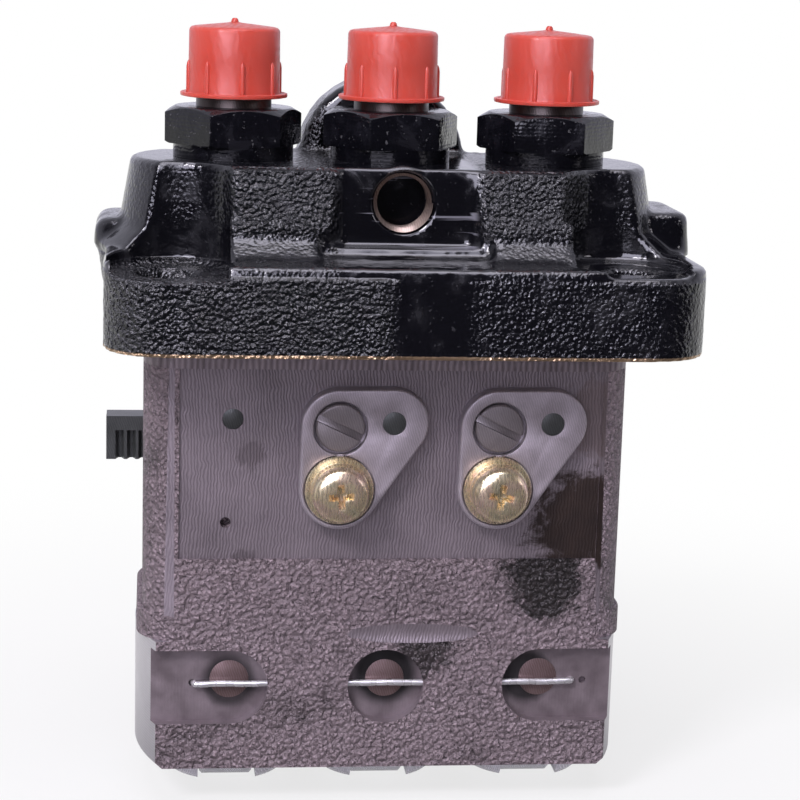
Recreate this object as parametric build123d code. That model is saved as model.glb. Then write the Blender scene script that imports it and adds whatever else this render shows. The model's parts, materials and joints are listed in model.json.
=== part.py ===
from build123d import *
import math
import os

# Flange-mounted in-line diesel injection pump, three elements in one cast housing.
# Millimetres. X runs along the row of elements, Y points to the back, Z up.
# Origin: axis of the middle element, in the plane of the flange's seating face.

# ---------------------------------------------------------------- row of elements
ELEMENTS = 3
PITCH = 25.0
ROW = [(i - (ELEMENTS - 1) / 2) * PITCH for i in range(ELEMENTS)]

# ---------------------------------------------------------------- clearances
RUN = 0.03           # radial, lapped or running round fits
SLIDE = 0.05         # radial, sleeve on barrel and tappet in its bore
FIT = 0.02           # radial, screwed, pressed or seated pieces of one body
LOOSE = 0.15         # radial, pieces that only pass through
GAP = 0.1            # axial, between faces that slide past each other

# ---------------------------------------------------------------- flange
FLANGE_LEFT = 45.0
FLANGE_RIGHT = 47.0
FLANGE_HALF_DEPTH = 31.0
FLANGE_T = 13.75
FLANGE_CORNER_R = 9.0
FLANGE_EDGE_R = 1.2
BOLT_X = 35.3
BOLT_Y = 20.6
BOLT_HOLE_R = 4.5
BOLT_MOUTH = 0.9
EAR_T_LEFT = 11.3
EAR_T_RIGHT = 12.6
SPOTFACE_R = 9.8
SPOTFACE_IN = 0.7     # a spotface's centre lies this much nearer the middle than its bolt
EAR_STEP_LEFT = 8.8   # from a bolt's axis to the step at the flange's long edge
EAR_STEP_RIGHT = 5.3
EAR_RUNOUT = 8.3      # from a bolt's axis outwards, where a spotface runs out at the edge

# ---------------------------------------------------------------- head above the flange
DECK_Z = 27.0
HEAD_R = 16.1
HEAD_DRAFT = 10.0
DECK_EDGE_R = 0.7
FLARE_R = 21.6
FLARE_TOP_Z = 17.4
FLARE_LOW_Z = 3.0
FLARE_REACH = 8.0     # how far the end flare runs in from the end of the row
PORT_FACE_Y = -15.9
PORT_FACE_LEFT = 8.7
PORT_FACE_RIGHT = 10.8
PORT_FACE_LOW_Z = 15.0
PORT_FACE_SLANT = 1.2  # how much the recess widens for each millimetre forward
SIDE_BOSS_LEFT = 31.0
SIDE_BOSS_RIGHT = 48.3
SIDE_BOSS_FRONT = 8.6
SIDE_BOSS_BACK = 12.0
SIDE_BOSS_TOP_Z = 19.9
SIDE_BOSS_EDGE_R = 1.4
END_BOSS_LEFT = 46.9
END_BOSS_RIGHT = 31.0
END_BOSS_FRONT = 6.0
END_BOSS_BACK = 12.0
END_BOSS_TOP_Z = 17.4
END_BOSS_EDGE_R = 2.2
BOSS_CORNER_R = 3.5
BOSS_DRAFT = 5.0
INLET_BOSS_R = 13.8
INLET_BOSS_Z = 25.6
INLET_BOSS_FRONT_Y = 11.8
INLET_BOSS_BACK_Y = 23.0
INLET_BOSS_EDGE_R = 2.0

# ---------------------------------------------------------------- fuel passages
BLEED_X = 0.6
BLEED_Z = 21.8
BLEED_R = 4.5
BLEED_END_Y = -9.8
BLEED_MOUTH = 0.7
BLEED_DROP_R = 1.7
BLEED_DROP_Y = -11.2
INLET_R = 6.25
INLET_END_Y = 12.6
INLET_MOUTH = 1.0
INLET_DROP_R = 2.5
INLET_DROP_Y = 13.5
GALLERY_R = 2.5
GALLERY_Y = 6.0
GALLERY_Z = 12.0
PLUG_R = 3.6
PLUG_T = 3.0

# ---------------------------------------------------------------- body below the flange
BODY_LEFT = 38.9
BODY_RIGHT = 37.9
BODY_HALF_DEPTH = 15.9
BODY_CORNER_R = 6.5
BODY_LOW_Z = -69.6
BEAD = 0.9            # how far the bead at the foot of the ends stands out
BEAD_TOP_Z = -43.8
BEAD_EDGE_R = 0.8
TURNED_R = 39.7
TURNED_X = -0.3
TURNED_TOP_Z = -48.4
TURNED_CHAMFER = 1.0
PANEL_Y = -15.4
PANEL_HALF = 33.3
PANEL_TOP_Z = -4.4
PANEL_LOW_Z = -34.9
GAUGE_HOLE_R = 0.85
GAUGE_HOLE_DEPTH = 2.5
GAUGE_HOLE_X = -26.0
GAUGE_HOLE_Z = -29.0
FLAT_X = 4.1
FLAT_Z = -47.2
FLAT_HALF = 10.9      # half length of the milled flat on the front of the foot
FLAT_HALF_T = 1.6
FLAT_DEPTH = 0.3

# ---------------------------------------------------------------- element stack
HOLDER_THREAD_R = 8.5
HOLDER_SHANK = 12.0
HOLDER_COLLAR_R = 9.5
HOLDER_COLLAR_T = 2.1
HEX_AF = 19.0
HEX_T = 5.8
HEX_CHAMFER_DEG = 30.0
HEX_TURN = [9.0, 7.5, -5.7]
NECK_R = 5.95
NECK_TOP_Z = 45.6
NECK_CHAMFER = 0.8
SPRING_ROOM_R = 4.6
SPRING_ROOM_TOP_Z = 31.0
OUTLET_R = 1.3
OUTLET_SEAT_R = 3.4
ORING_R = 0.9
ORING_DROP = 1.9      # from the deck down to the ring's middle
GASKET_T = 1.5
GASKET_R = 7.5
GASKET_BORE_R = 4.9
SEAT_FLANGE_T = 4.0
SEAT_FLANGE_R = 7.5
SEAT_NECK_R = 4.4
SEAT_NECK = 6.0
VALVE_GUIDE_R = 3.0
VALVE_HEAD_R = 3.9
VALVE_HEAD_T = 1.6
VALVE_STEM = 8.0
VALVE_SPIGOT_R = 2.0
VALVE_SPIGOT = 2.4
VALVE_LIFT = 2.5
VALVE_FLUTE = 0.9
VALVE_LAND = 1.5
VALVE_WIRE_R = 0.4
VALVE_SPRING_R = 3.0
VALVE_TURNS = 4

# ---------------------------------------------------------------- plunger and barrel
BARREL_HEAD_R = 8.0
BARREL_HEAD = 13.0
BARREL_R = 7.0
BARREL_BODY = 12.0
STEM_R = 4.75
STEM_LOW_Z = -32.0
PLUNGER_R = 3.25
PLUNGER_TOP_Z = 0.4
PORT_R = 1.5
PORT_RISE = 2.0       # fuel port's axis above the plunger's top at rest
HELIX_GROOVE = 0.7
PLUNGER_NECK_R = 2.6
PLUNGER_NECK = 6.0
VANE_Z = -43.5
VANE_T = 2.5
VANE_W = 3.0
VANE_REACH = 5.9
FOOT_R = 4.5
FOOT_T = 1.6
LIFT = 8.0

# ---------------------------------------------------------------- control sleeve and rack
MODULE = 0.6
TEETH = 28
PRESSURE_DEG = 20.0
BACKLASH = 0.12
ADDENDUM = MODULE
DEDENDUM = 1.25 * MODULE
PITCH_R = MODULE * TEETH / 2
SLEEVE_R = 6.0
SLEEVE_HUB_R = 7.4
SLEEVE_TOP_Z = -17.6
SLEEVE_LOW_Z = -45.0
RACK_LEFT = 45.0
RACK_RIGHT = 36.4
RACK_TOP_Z = -17.0
RACK_LOW_Z = -24.3
RACK_STEP_Z = -19.4
RACK_T = 5.0
RACK_LAND = 1.3       # plain end before the first tooth gap
RACK_END_LAND = 0.8   # least plain end after the last tooth gap
RACK_TRAVEL = 5.5     # each way
RACK_PIN_X = 12.5
RACK_PIN_R = 2.5
RACK_PIN_SHANK_R = 2.0
RACK_PIN_STEP_Y = 16.3
RACK_PIN_DEPTH = 3.0
RACK_PIN_END_Y = 23.0
WINDOW_MARGIN = 0.6

# ---------------------------------------------------------------- plunger spring and tappet
TAPPET_R = 10.3
TAPPET_CUP_R = 9.0
TAPPET_TOP_Z = -48.0
TAPPET_LOW_Z = -74.0
TAPPET_FLOOR_Z = -59.6
TAPPET_FLOOR_T = 2.0
TAPPET_CHAMFER = 0.8
ROLLER_R = 7.0
ROLLER_W = 8.6
ROLLER_Z = -69.0
ROLLER_SIDE = 0.4
ROLLER_PIN_R = 2.9
ROLLER_PIN = 18.8
SPRING_STEP_Z = -29.0
UPPER_SEAT_T = 1.5
UPPER_SEAT_R = 9.9
LOWER_SEAT_R = 8.6
LOWER_SEAT_T = 1.5
LOWER_SEAT_HUB_R = 6.2
LOWER_SEAT_H = 3.1
SPRING_R = 7.7
WIRE_R = 1.05
SPRING_TURNS = 5

# ---------------------------------------------------------------- tappet guide pins
GUIDE_Z = -55.2
GUIDE_HEAD_R = 3.1
GUIDE_HEAD_T = 2.3
GUIDE_TIP_R = 2.2
GUIDE_TIP_Y = -9.2
GUIDE_REST = 0.3      # tip to the top of the tappet's slot at rest
POCKET_Z = -56.0
POCKET_R = 6.1
POCKET_DEPTH = 1.9
RETAINER_R = 0.55
RETAINER_Z = -55.8
RETAINER_BITE = 0.9   # how far a wire's end enters the pocket wall
RETAINER_REACH_LEFT = 5.9   # from a pin's axis to the wire's bent leg
RETAINER_REACH_RIGHT = 7.4

# ---------------------------------------------------------------- delivery adjusters
PIN_Z = -12.4
PIN_TIP_Y = -5.8
PIN_TIP_R = 1.5
FIXED_PIN_R = 1.65
PLATE_PIN_R = 1.82
PIN_SLOT_R = 2.4
PLATE_T = 2.8
PLATE_EDGE = 0.25
PLATE_PIN_END_R = 5.4
PLATE_ECC_END_R = 6.1
PLATE_CLAMP_END_R = 6.3
ECC_X = -8.4
ECC_Z = -13.2
ECC_HEAD_R = 3.83
ECC_RECESS_R = 4.3
ECC_RECESS = 1.6
ECC_CAM_R = 2.85
ECC_THROW = 0.5
ECC_SHANK_R = 1.9
ECC_SHANK_END_Y = -9.5
ECC_SLOT_W = 1.2
ECC_SLOT_DEPTH = 0.9
ECC_SLOT_TURN = 25.0
CLAMP_X = -8.4
CLAMP_Z = -23.1
CLAMP_R = 2.5
CLAMP_END_Y = -8.6
CLAMP_HEAD_R = 4.4
CLAMP_HEAD_T = 3.2
CLAMP_HEAD_EDGE = 1.1
CLAMP_RECESS_R = 5.65
CLAMP_RECESS = 0.8
CLAMP_PASS_R = 3.3
WASHER_R = 5.4
WASHER_T = 1.0
LOCK_WASHER_R = 4.6
LOCK_WASHER_T = 1.2
LOCK_WASHER_SPLIT = 0.9
CROSS_L = 4.4
CROSS_W = 1.0
CROSS_DEPTH = 1.9

# ---------------------------------------------------------------- protective caps
CAP_R = 7.2
CAP_WALL_GAP = 0.15
CAP_LIP_R = 8.45
CAP_LIP_T = 0.65
CAP_LOW_Z = 36.4
CAP_TOP_Z = 47.2
CAP_INSIDE_GAP = 0.5
CAP_EDGE_R = 0.9
CAP_DOME = 0.7
CAP_NUB_R = 0.6
CAP_NUB = 0.7
CAP_RIBS = 8
CAP_RIB_W = 0.8
CAP_RIB_PROUD = 0.35
CAP_RIB_TOP_Z = 41.9

# ---------------------------------------------------------------- worked-out places
HEX_CORNER_R = HEX_AF / math.sqrt(3)
HEX_LOW_Z = DECK_Z + HOLDER_COLLAR_T
HEX_TOP_Z = HEX_LOW_Z + HEX_T
HOLDER_LOW_Z = DECK_Z - HOLDER_SHANK
SEAT_TOP_Z = HOLDER_LOW_Z - GASKET_T
BARREL_TOP_Z = SEAT_TOP_Z - SEAT_FLANGE_T
SHOULDER_Z = BARREL_TOP_Z - BARREL_HEAD
STEM_TOP_Z = SHOULDER_Z - BARREL_BODY
VALVE_SEAT_Z = SEAT_TOP_Z + SEAT_NECK
PUMP_PORT_Z = PLUNGER_TOP_Z + PORT_RISE
GEAR_R = PITCH_R + ADDENDUM
GEAR_ROOT_R = PITCH_R - DEDENDUM
GEAR_TOP_Z = RACK_STEP_Z - GAP
GEAR_LOW_Z = RACK_LOW_Z + GAP
GEAR_BORE_R = GEAR_R + 2 * GAP
RACK_TIP_Y = PITCH_R - ADDENDUM
RACK_ROOT_Y = PITCH_R + DEDENDUM
RACK_BACK_Y = RACK_TIP_Y + RACK_T
TOOTH_PITCH = math.pi * MODULE
FIRST_GAP_X = -RACK_LEFT + RACK_LAND + TOOTH_PITCH / 2
UPPER_SEAT_LOW_Z = SPRING_STEP_Z - UPPER_SEAT_T
LOWER_SEAT_TOP_Z = TAPPET_FLOOR_Z + LOWER_SEAT_H
FOOT_LOW_Z = TAPPET_FLOOR_Z + GAP
PLATE_FACE_Y = PANEL_Y - PLATE_T
POCKET_FLOOR_Y = -BODY_HALF_DEPTH + POCKET_DEPTH
RETAINER_Y = POCKET_FLOOR_Y - RETAINER_R - GAP
BIG = 200.0           # longer than the pump, for cutting bodies


def cylinder_z(r, z0, z1, x=0.0, y=0.0):
    """Cylinder along Z between two heights."""
    return Pos(x, y, (z0 + z1) / 2) * Cylinder(r, abs(z1 - z0))


def cylinder_y(r, y0, y1, x=0.0, z=0.0):
    """Cylinder along Y between two depths."""
    return Pos(x, (y0 + y1) / 2, z) * Rot(X=90) * Cylinder(r, abs(y1 - y0))


def cylinder_x(r, x0, x1, y=0.0, z=0.0):
    """Cylinder along X between two places."""
    return Pos((x0 + x1) / 2, y, z) * Rot(Y=90) * Cylinder(r, abs(x1 - x0))


def block(x0, x1, y0, y1, z0, z1):
    """Box between two corners."""
    middle = Pos((x0 + x1) / 2, (y0 + y1) / 2, (z0 + z1) / 2)
    return middle * Box(abs(x1 - x0), abs(y1 - y0), abs(z1 - z0))


def cone_z(r0, r1, z0, z1, x=0.0, y=0.0):
    """Cone along Z, radius r0 at z0 and r1 at z1."""
    return Pos(x, y, (z0 + z1) / 2) * Cone(r0, r1, z1 - z0)


def turned(points, x=0.0, y=0.0):
    """Solid of revolution about a Z axis from (radius, height) points."""
    outline = make_face(Plane.XZ * Polyline(*points, close=True))
    return Pos(x, y, 0) * revolve(outline, Axis.Z)


# ================================================================ housing

def flange():
    """Mounting flange with spotfaced ears at its four corners."""
    length = FLANGE_LEFT + FLANGE_RIGHT
    middle_x = (FLANGE_RIGHT - FLANGE_LEFT) / 2
    outline = RectangleRounded(length, 2 * FLANGE_HALF_DEPTH, FLANGE_CORNER_R)
    plate = Pos(middle_x, 0, 0) * extrude(outline, FLANGE_T)
    plate = fillet(plate.faces().sort_by(Axis.Z)[-1].edges(), FLANGE_EDGE_R)
    return plate


def ear_cuts():
    """Spotfaces and bolt holes of the four ears."""
    cuts = Part()
    high = DECK_Z + INLET_BOSS_R
    for side, top, step in ((-1, EAR_T_LEFT, EAR_STEP_LEFT), (1, EAR_T_RIGHT, EAR_STEP_RIGHT)):
        for face in (-1, 1):
            x, y = side * BOLT_X, face * BOLT_Y
            inner_x = x - side * step
            outer_x = x + side * EAR_RUNOUT
            cuts += cylinder_z(SPOTFACE_R, top, high, x - side * SPOTFACE_IN, y)
            cuts += block(inner_x, outer_x, y, face * BIG, top, high)
            cuts += cylinder_z(BOLT_HOLE_R, -BIG, top, x, y)
            cuts += cone_z(BOLT_HOLE_R, BOLT_HOLE_R + BOLT_MOUTH, top - BOLT_MOUTH, top, x, y)
    return cuts


def side_boss(x0, x1, y0, y1, top_z, edge_r):
    """Drafted boss on an end of the head, rounded at its top."""
    low_z = FLANGE_T - 1.0
    boss = extrude(RectangleRounded(x1 - x0, y1 - y0, BOSS_CORNER_R), top_z - low_z, taper=BOSS_DRAFT)
    boss = fillet(boss.faces().sort_by(Axis.Z)[-1].edges(), edge_r)
    return Pos((x0 + x1) / 2, (y0 + y1) / 2, low_z) * boss


def head():
    """Drafted head with the inlet boss behind and a boss at either end."""
    low_z = FLANGE_T - 1.0
    grow = (DECK_Z - low_z) * math.tan(math.radians(HEAD_DRAFT))
    foot_r = HEAD_R + grow
    outline = SlotCenterToCenter(PITCH * (ELEMENTS - 1), 2 * foot_r)
    body = Pos(0, 0, low_z) * extrude(outline, DECK_Z - low_z, taper=HEAD_DRAFT)
    body = fillet(body.faces().sort_by(Axis.Z)[-1].edges(), DECK_EDGE_R)

    flare_foot = FLARE_R - (FLANGE_T - FLARE_LOW_Z) * 0.15
    for end in (-1, 1):
        x = end * PITCH * (ELEMENTS - 1) / 2
        flare = cone_z(FLARE_R, HEAD_R + grow / 2, FLANGE_T, FLARE_TOP_Z, x)
        flare += cone_z(flare_foot, FLARE_R, FLARE_LOW_Z, FLANGE_T, x)
        reach = x + end * FLARE_REACH
        body += flare & block(reach, end * BIG, -BIG, BIG, 0, DECK_Z)

    body += side_boss(SIDE_BOSS_LEFT, SIDE_BOSS_RIGHT, -SIDE_BOSS_FRONT, SIDE_BOSS_BACK,
                      SIDE_BOSS_TOP_Z, SIDE_BOSS_EDGE_R)
    body += side_boss(-END_BOSS_LEFT, -END_BOSS_RIGHT, -END_BOSS_FRONT, END_BOSS_BACK,
                      END_BOSS_TOP_Z, END_BOSS_EDGE_R)

    inlet = cylinder_y(INLET_BOSS_R, INLET_BOSS_FRONT_Y, INLET_BOSS_BACK_Y, 0, INLET_BOSS_Z)
    inlet = fillet(inlet.edges().filter_by(GeomType.CIRCLE), INLET_BOSS_EDGE_R)
    body += inlet - block(-BIG, BIG, 0, BIG, -BIG, FLANGE_T / 2)
    return body


def lower_body():
    """Raw block below the flange, beaded at the foot of its ends and turned below that."""
    length = BODY_LEFT + BODY_RIGHT
    depth = 2 * BODY_HALF_DEPTH
    place = Pos((BODY_RIGHT - BODY_LEFT) / 2, 0, TURNED_TOP_Z)
    body = extrude(RectangleRounded(length, depth, BODY_CORNER_R), -TURNED_TOP_Z + 1.0)
    bead_outline = RectangleRounded(length + 2 * BEAD, depth, BODY_CORNER_R + BEAD)
    bead = extrude(bead_outline, BEAD_TOP_Z - TURNED_TOP_Z)
    bead = fillet(bead.faces().sort_by(Axis.Z)[-1].edges(), BEAD_EDGE_R)
    drum = cylinder_z(TURNED_R, BODY_LOW_Z, TURNED_TOP_Z, TURNED_X)
    drum = chamfer(drum.faces().sort_by(Axis.Z)[0].edges(), TURNED_CHAMFER)
    drum &= block(-BIG, BIG, -BODY_HALF_DEPTH, BODY_HALF_DEPTH, BODY_LOW_Z, TURNED_TOP_Z)
    return place * (body + bead) + drum


def element_bore(x):
    """Stepped bore of one element, from the deck to the tappet's mouth."""
    bore = cylinder_z(HOLDER_THREAD_R + FIT, SHOULDER_Z, DECK_Z, x)
    bore += cylinder_z(BARREL_R + SLIDE, SLEEVE_TOP_Z, SHOULDER_Z, x)
    bore += cylinder_z(GEAR_BORE_R, SPRING_STEP_Z, SLEEVE_TOP_Z + GAP, x)
    bore += cylinder_z(TAPPET_R + SLIDE, BODY_LOW_Z, SPRING_STEP_Z, x)
    mouth = TAPPET_CHAMFER
    bore += cone_z(TAPPET_R + SLIDE + mouth, TAPPET_R + SLIDE, BODY_LOW_Z, BODY_LOW_Z + mouth, x)
    return bore


def fuel_passages():
    """Bleed port, inlet port and the gallery that joins the three bores."""
    cut = cylinder_y(BLEED_R, PORT_FACE_Y, BLEED_END_Y, BLEED_X, BLEED_Z)
    mouth = Pos(BLEED_X, PORT_FACE_Y, BLEED_Z) * Rot(X=90)
    cut += mouth * Pos(0, 0, -BLEED_MOUTH / 2) * Cone(BLEED_R, BLEED_R + BLEED_MOUTH, BLEED_MOUTH)
    cut += cylinder_z(BLEED_DROP_R, GALLERY_Z, BLEED_Z, BLEED_X, BLEED_DROP_Y)
    cut += cylinder_y(BLEED_DROP_R, BLEED_DROP_Y, 0, BLEED_X, GALLERY_Z)

    cut += cylinder_y(INLET_R, INLET_END_Y, INLET_BOSS_BACK_Y, 0, INLET_BOSS_Z)
    mouth = Pos(0, INLET_BOSS_BACK_Y, INLET_BOSS_Z) * Rot(X=-90)
    cut += mouth * Pos(0, 0, -INLET_MOUTH / 2) * Cone(INLET_R, INLET_R + INLET_MOUTH, INLET_MOUTH)
    cut += cylinder_z(INLET_DROP_R, GALLERY_Z, INLET_BOSS_Z, 0, INLET_DROP_Y)
    cut += cylinder_y(INLET_DROP_R, 0, INLET_DROP_Y, 0, GALLERY_Z)

    cut += cylinder_x(GALLERY_R, ROW[0], BIG, GALLERY_Y, GALLERY_Z)
    cut += cylinder_x(PLUG_R + FIT, FLANGE_RIGHT - PLUG_T, BIG, GALLERY_Y, GALLERY_Z)
    return cut


def rack_channel():
    """Broached way of the control rack and the window for its pin."""
    cut = block(-BIG, BIG, RACK_TIP_Y - GAP, RACK_BACK_Y + SLIDE, RACK_LOW_Z - SLIDE, RACK_TOP_Z + SLIDE)
    half = RACK_TRAVEL + RACK_PIN_R + WINDOW_MARGIN
    middle_z = (RACK_TOP_Z + RACK_LOW_Z) / 2
    tall = RACK_PIN_R + LOOSE + GAP
    window = SlotOverall(2 * half, 2 * tall)
    place = Plane((RACK_PIN_X, RACK_BACK_Y, middle_z), x_dir=(1, 0, 0), z_dir=(0, 1, 0))
    return cut + extrude(place * window, BIG)


def adjuster_holes():
    """Pin holes of the barrels and the screw holes of the adjusting plates."""
    cut = cylinder_y(FIXED_PIN_R + FIT, PANEL_Y, 0, ROW[0], PIN_Z)
    for x in ROW[1:]:
        cut += cylinder_y(PIN_SLOT_R, PANEL_Y, 0, x, PIN_Z)
        shank_z = ECC_Z - ECC_THROW
        cut += cylinder_y(ECC_SHANK_R + SLIDE, PANEL_Y, ECC_SHANK_END_Y + GAP, x + ECC_X, shank_z)
        cut += cylinder_y(CLAMP_R + FIT, PANEL_Y, CLAMP_END_Y + GAP, x + CLAMP_X, CLAMP_Z)
    return cut


def front_marks():
    """Small gauge hole in the panel and the milled flat on the front of the foot."""
    cut = cylinder_y(GAUGE_HOLE_R, PANEL_Y, PANEL_Y + GAUGE_HOLE_DEPTH, GAUGE_HOLE_X, GAUGE_HOLE_Z)
    wheel_r = (FLAT_HALF**2 + FLAT_DEPTH**2) / (2 * FLAT_DEPTH)
    rim_r = (FLAT_HALF_T**2 + FLAT_DEPTH**2) / (2 * FLAT_DEPTH)
    wheel_y = FLAT_DEPTH - BODY_HALF_DEPTH - wheel_r
    return cut + Pos(FLAT_X, wheel_y, FLAT_Z) * Torus(wheel_r - rim_r, rim_r)


def wire_reach(x):
    """How far the open end of a retaining wire lies from its pin's axis."""
    return RETAINER_REACH_LEFT if x < 0 else RETAINER_REACH_RIGHT


def guide_pockets():
    """Milled pockets, guide pin holes and wire holes on the front face."""
    cut = Part()
    for i, x in enumerate(ROW):
        cut += cylinder_y(POCKET_R, -BIG, POCKET_FLOOR_Y, x, POCKET_Z)
        if x:
            end = math.copysign(BIG, x)
            cut += block(x, end, -BIG, POCKET_FLOOR_Y, POCKET_Z - POCKET_R, POCKET_Z + POCKET_R)
        step_y = POCKET_FLOOR_Y + GUIDE_HEAD_T + FIT
        cut += cylinder_y(GUIDE_HEAD_R + FIT, POCKET_FLOOR_Y, step_y, x, GUIDE_Z)
        cut += cylinder_y(GUIDE_TIP_R + FIT, step_y, 0, x, GUIDE_Z)
        bite = retainer_ends(x)
        cut += cylinder_x(RETAINER_R + FIT, bite[0] - FIT, bite[1] + FIT, RETAINER_Y, RETAINER_Z)
        if x:
            leg_x = x + math.copysign(wire_reach(x), x)
            leg_end = POCKET_FLOOR_Y + RETAINER_BITE + FIT
            cut += cylinder_y(RETAINER_R + FIT, RETAINER_Y, leg_end, leg_x, RETAINER_Z)
    return cut


def retainer_ends(x):
    """Ends of a retaining wire along X: a wall end bites, an open end has the leg."""
    wall = math.sqrt(POCKET_R**2 - (RETAINER_Z - POCKET_Z) ** 2) + RETAINER_BITE
    left = x - wire_reach(x) if x < 0 else x - wall
    right = x + wire_reach(x) if x > 0 else x + wall
    return left, right


def port_recess():
    """Recess in the front of the head, open to the deck, with slanted walls."""
    depth = HEAD_R
    spread = PORT_FACE_SLANT * depth
    outline = make_face(Polyline(
        (-PORT_FACE_LEFT, PORT_FACE_Y), (PORT_FACE_RIGHT, PORT_FACE_Y),
        (PORT_FACE_RIGHT + spread, PORT_FACE_Y - depth),
        (-PORT_FACE_LEFT - spread, PORT_FACE_Y - depth), close=True))
    return Pos(0, 0, PORT_FACE_LOW_Z) * extrude(outline, DECK_Z)


def pump_housing():
    """The whole casting with its machining."""
    body = flange() + head() + lower_body()
    body -= ear_cuts()
    body -= port_recess()
    body -= block(-PANEL_HALF, PANEL_HALF, -BIG, PANEL_Y, PANEL_LOW_Z, PANEL_TOP_Z)
    body -= front_marks()
    for x in ROW:
        body -= element_bore(x)
    body -= fuel_passages()
    body -= rack_channel()
    body -= adjuster_holes()
    body -= guide_pockets()
    return body


def fuel_gallery_plug():
    """Plug that closes the gallery in the flange's right end."""
    return cylinder_x(PLUG_R, FLANGE_RIGHT - PLUG_T, FLANGE_RIGHT - GAP, GALLERY_Y, GALLERY_Z)


# ================================================================ outlets

def delivery_valve_holder(x, turn):
    """Screwed outlet holder: hexagon, collar, shank and union neck."""
    groove_z = DECK_Z - ORING_DROP
    groove_r = HOLDER_THREAD_R - 2 * ORING_R
    outline = [
        (0, HOLDER_LOW_Z), (HOLDER_THREAD_R, HOLDER_LOW_Z),
        (HOLDER_THREAD_R, groove_z - ORING_R - GAP), (groove_r, groove_z - ORING_R - GAP),
        (groove_r, groove_z + ORING_R + GAP), (HOLDER_THREAD_R, groove_z + ORING_R + GAP),
        (HOLDER_THREAD_R, DECK_Z), (HOLDER_COLLAR_R, DECK_Z),
        (HOLDER_COLLAR_R, HEX_LOW_Z + 1.0), (NECK_R, HEX_TOP_Z - 1.0),
        (NECK_R, NECK_TOP_Z - NECK_CHAMFER), (NECK_R - NECK_CHAMFER, NECK_TOP_Z), (0, NECK_TOP_Z),
    ]
    body = turned(outline)
    slope = math.tan(math.radians(HEX_CHAMFER_DEG))
    hexagon = Pos(0, 0, HEX_LOW_Z) * extrude(RegularPolygon(HEX_CORNER_R, 6), HEX_T)
    chamfer_r = HEX_AF / 2 - 0.3
    drop = (HEX_CORNER_R - chamfer_r) * slope
    rounding = turned([
        (0, HEX_LOW_Z), (HEX_CORNER_R - 0.5, HEX_LOW_Z), (HEX_CORNER_R, HEX_LOW_Z + 0.5 * slope),
        (HEX_CORNER_R, HEX_TOP_Z - drop), (chamfer_r, HEX_TOP_Z), (0, HEX_TOP_Z)])
    body += hexagon & rounding
    body -= cylinder_z(SPRING_ROOM_R, HOLDER_LOW_Z, SPRING_ROOM_TOP_Z)
    body -= cylinder_z(OUTLET_R, SPRING_ROOM_TOP_Z, NECK_TOP_Z)
    seat_z = NECK_TOP_Z - (OUTLET_SEAT_R - OUTLET_R) / slope
    body -= cone_z(OUTLET_R, OUTLET_SEAT_R, seat_z, NECK_TOP_Z)
    return Pos(x, 0, 0) * Rot(Z=turn) * body


def holder_o_rings():
    """Rubber rings that seal the three holders in the deck."""
    middle_r = HOLDER_THREAD_R - ORING_R
    rings = [Pos(x, 0, DECK_Z - ORING_DROP) * Torus(middle_r, ORING_R) for x in ROW]
    return Compound(children=rings)


def delivery_gaskets():
    """Copper rings between the holders and the valve seats."""
    rings = []
    for x in ROW:
        ring = cylinder_z(GASKET_R, SEAT_TOP_Z, HOLDER_LOW_Z, x)
        rings.append(ring - cylinder_z(GASKET_BORE_R, SEAT_TOP_Z, HOLDER_LOW_Z, x))
    return Compound(children=rings)


def delivery_valve_seat(x):
    """Valve seat: flange on the barrel, neck inside the holder."""
    body = cylinder_z(SEAT_FLANGE_R, BARREL_TOP_Z, SEAT_TOP_Z, x)
    body += cylinder_z(SEAT_NECK_R, SEAT_TOP_Z, VALVE_SEAT_Z, x)
    body -= cylinder_z(VALVE_GUIDE_R + RUN, BARREL_TOP_Z, VALVE_SEAT_Z, x)
    return body


def delivery_valve(x):
    """Mushroom valve with a fluted stem and a spring spigot."""
    stem_z = VALVE_SEAT_Z - VALVE_STEM
    head_z = VALVE_SEAT_Z + GAP / 2
    body = cylinder_z(VALVE_GUIDE_R, stem_z, head_z, x)
    flute_top = VALVE_SEAT_Z - VALVE_LAND
    for quarter in range(4):
        floor = VALVE_GUIDE_R - VALVE_FLUTE
        flute = block(-VALVE_FLUTE, VALVE_FLUTE, floor, VALVE_HEAD_R, stem_z, flute_top)
        body -= Pos(x, 0, 0) * Rot(Z=90 * quarter + 45) * flute
    body += cylinder_z(VALVE_HEAD_R, head_z, head_z + VALVE_HEAD_T, x)
    body += cylinder_z(VALVE_SPIGOT_R, head_z, head_z + VALVE_HEAD_T + VALVE_SPIGOT, x)
    return body


def coil(radius, wire_r, z0, z1, turns, x):
    """Helical spring between two heights, its wire just inside them."""
    height = z1 - z0 - 2 * wire_r
    path = Helix(pitch=height / turns, height=height, radius=radius)
    section = Plane(origin=path @ 0, z_dir=path % 0) * RegularPolygon(wire_r, 8)
    return Pos(x, 0, z0 + wire_r) * sweep(section, path=path, is_frenet=True)


def delivery_valve_spring(x):
    """Spring between a valve's head and its holder."""
    low_z = VALVE_SEAT_Z + GAP / 2 + VALVE_HEAD_T
    return coil(VALVE_SPRING_R, VALVE_WIRE_R, low_z, SPRING_ROOM_TOP_Z, VALVE_TURNS, x)


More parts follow.
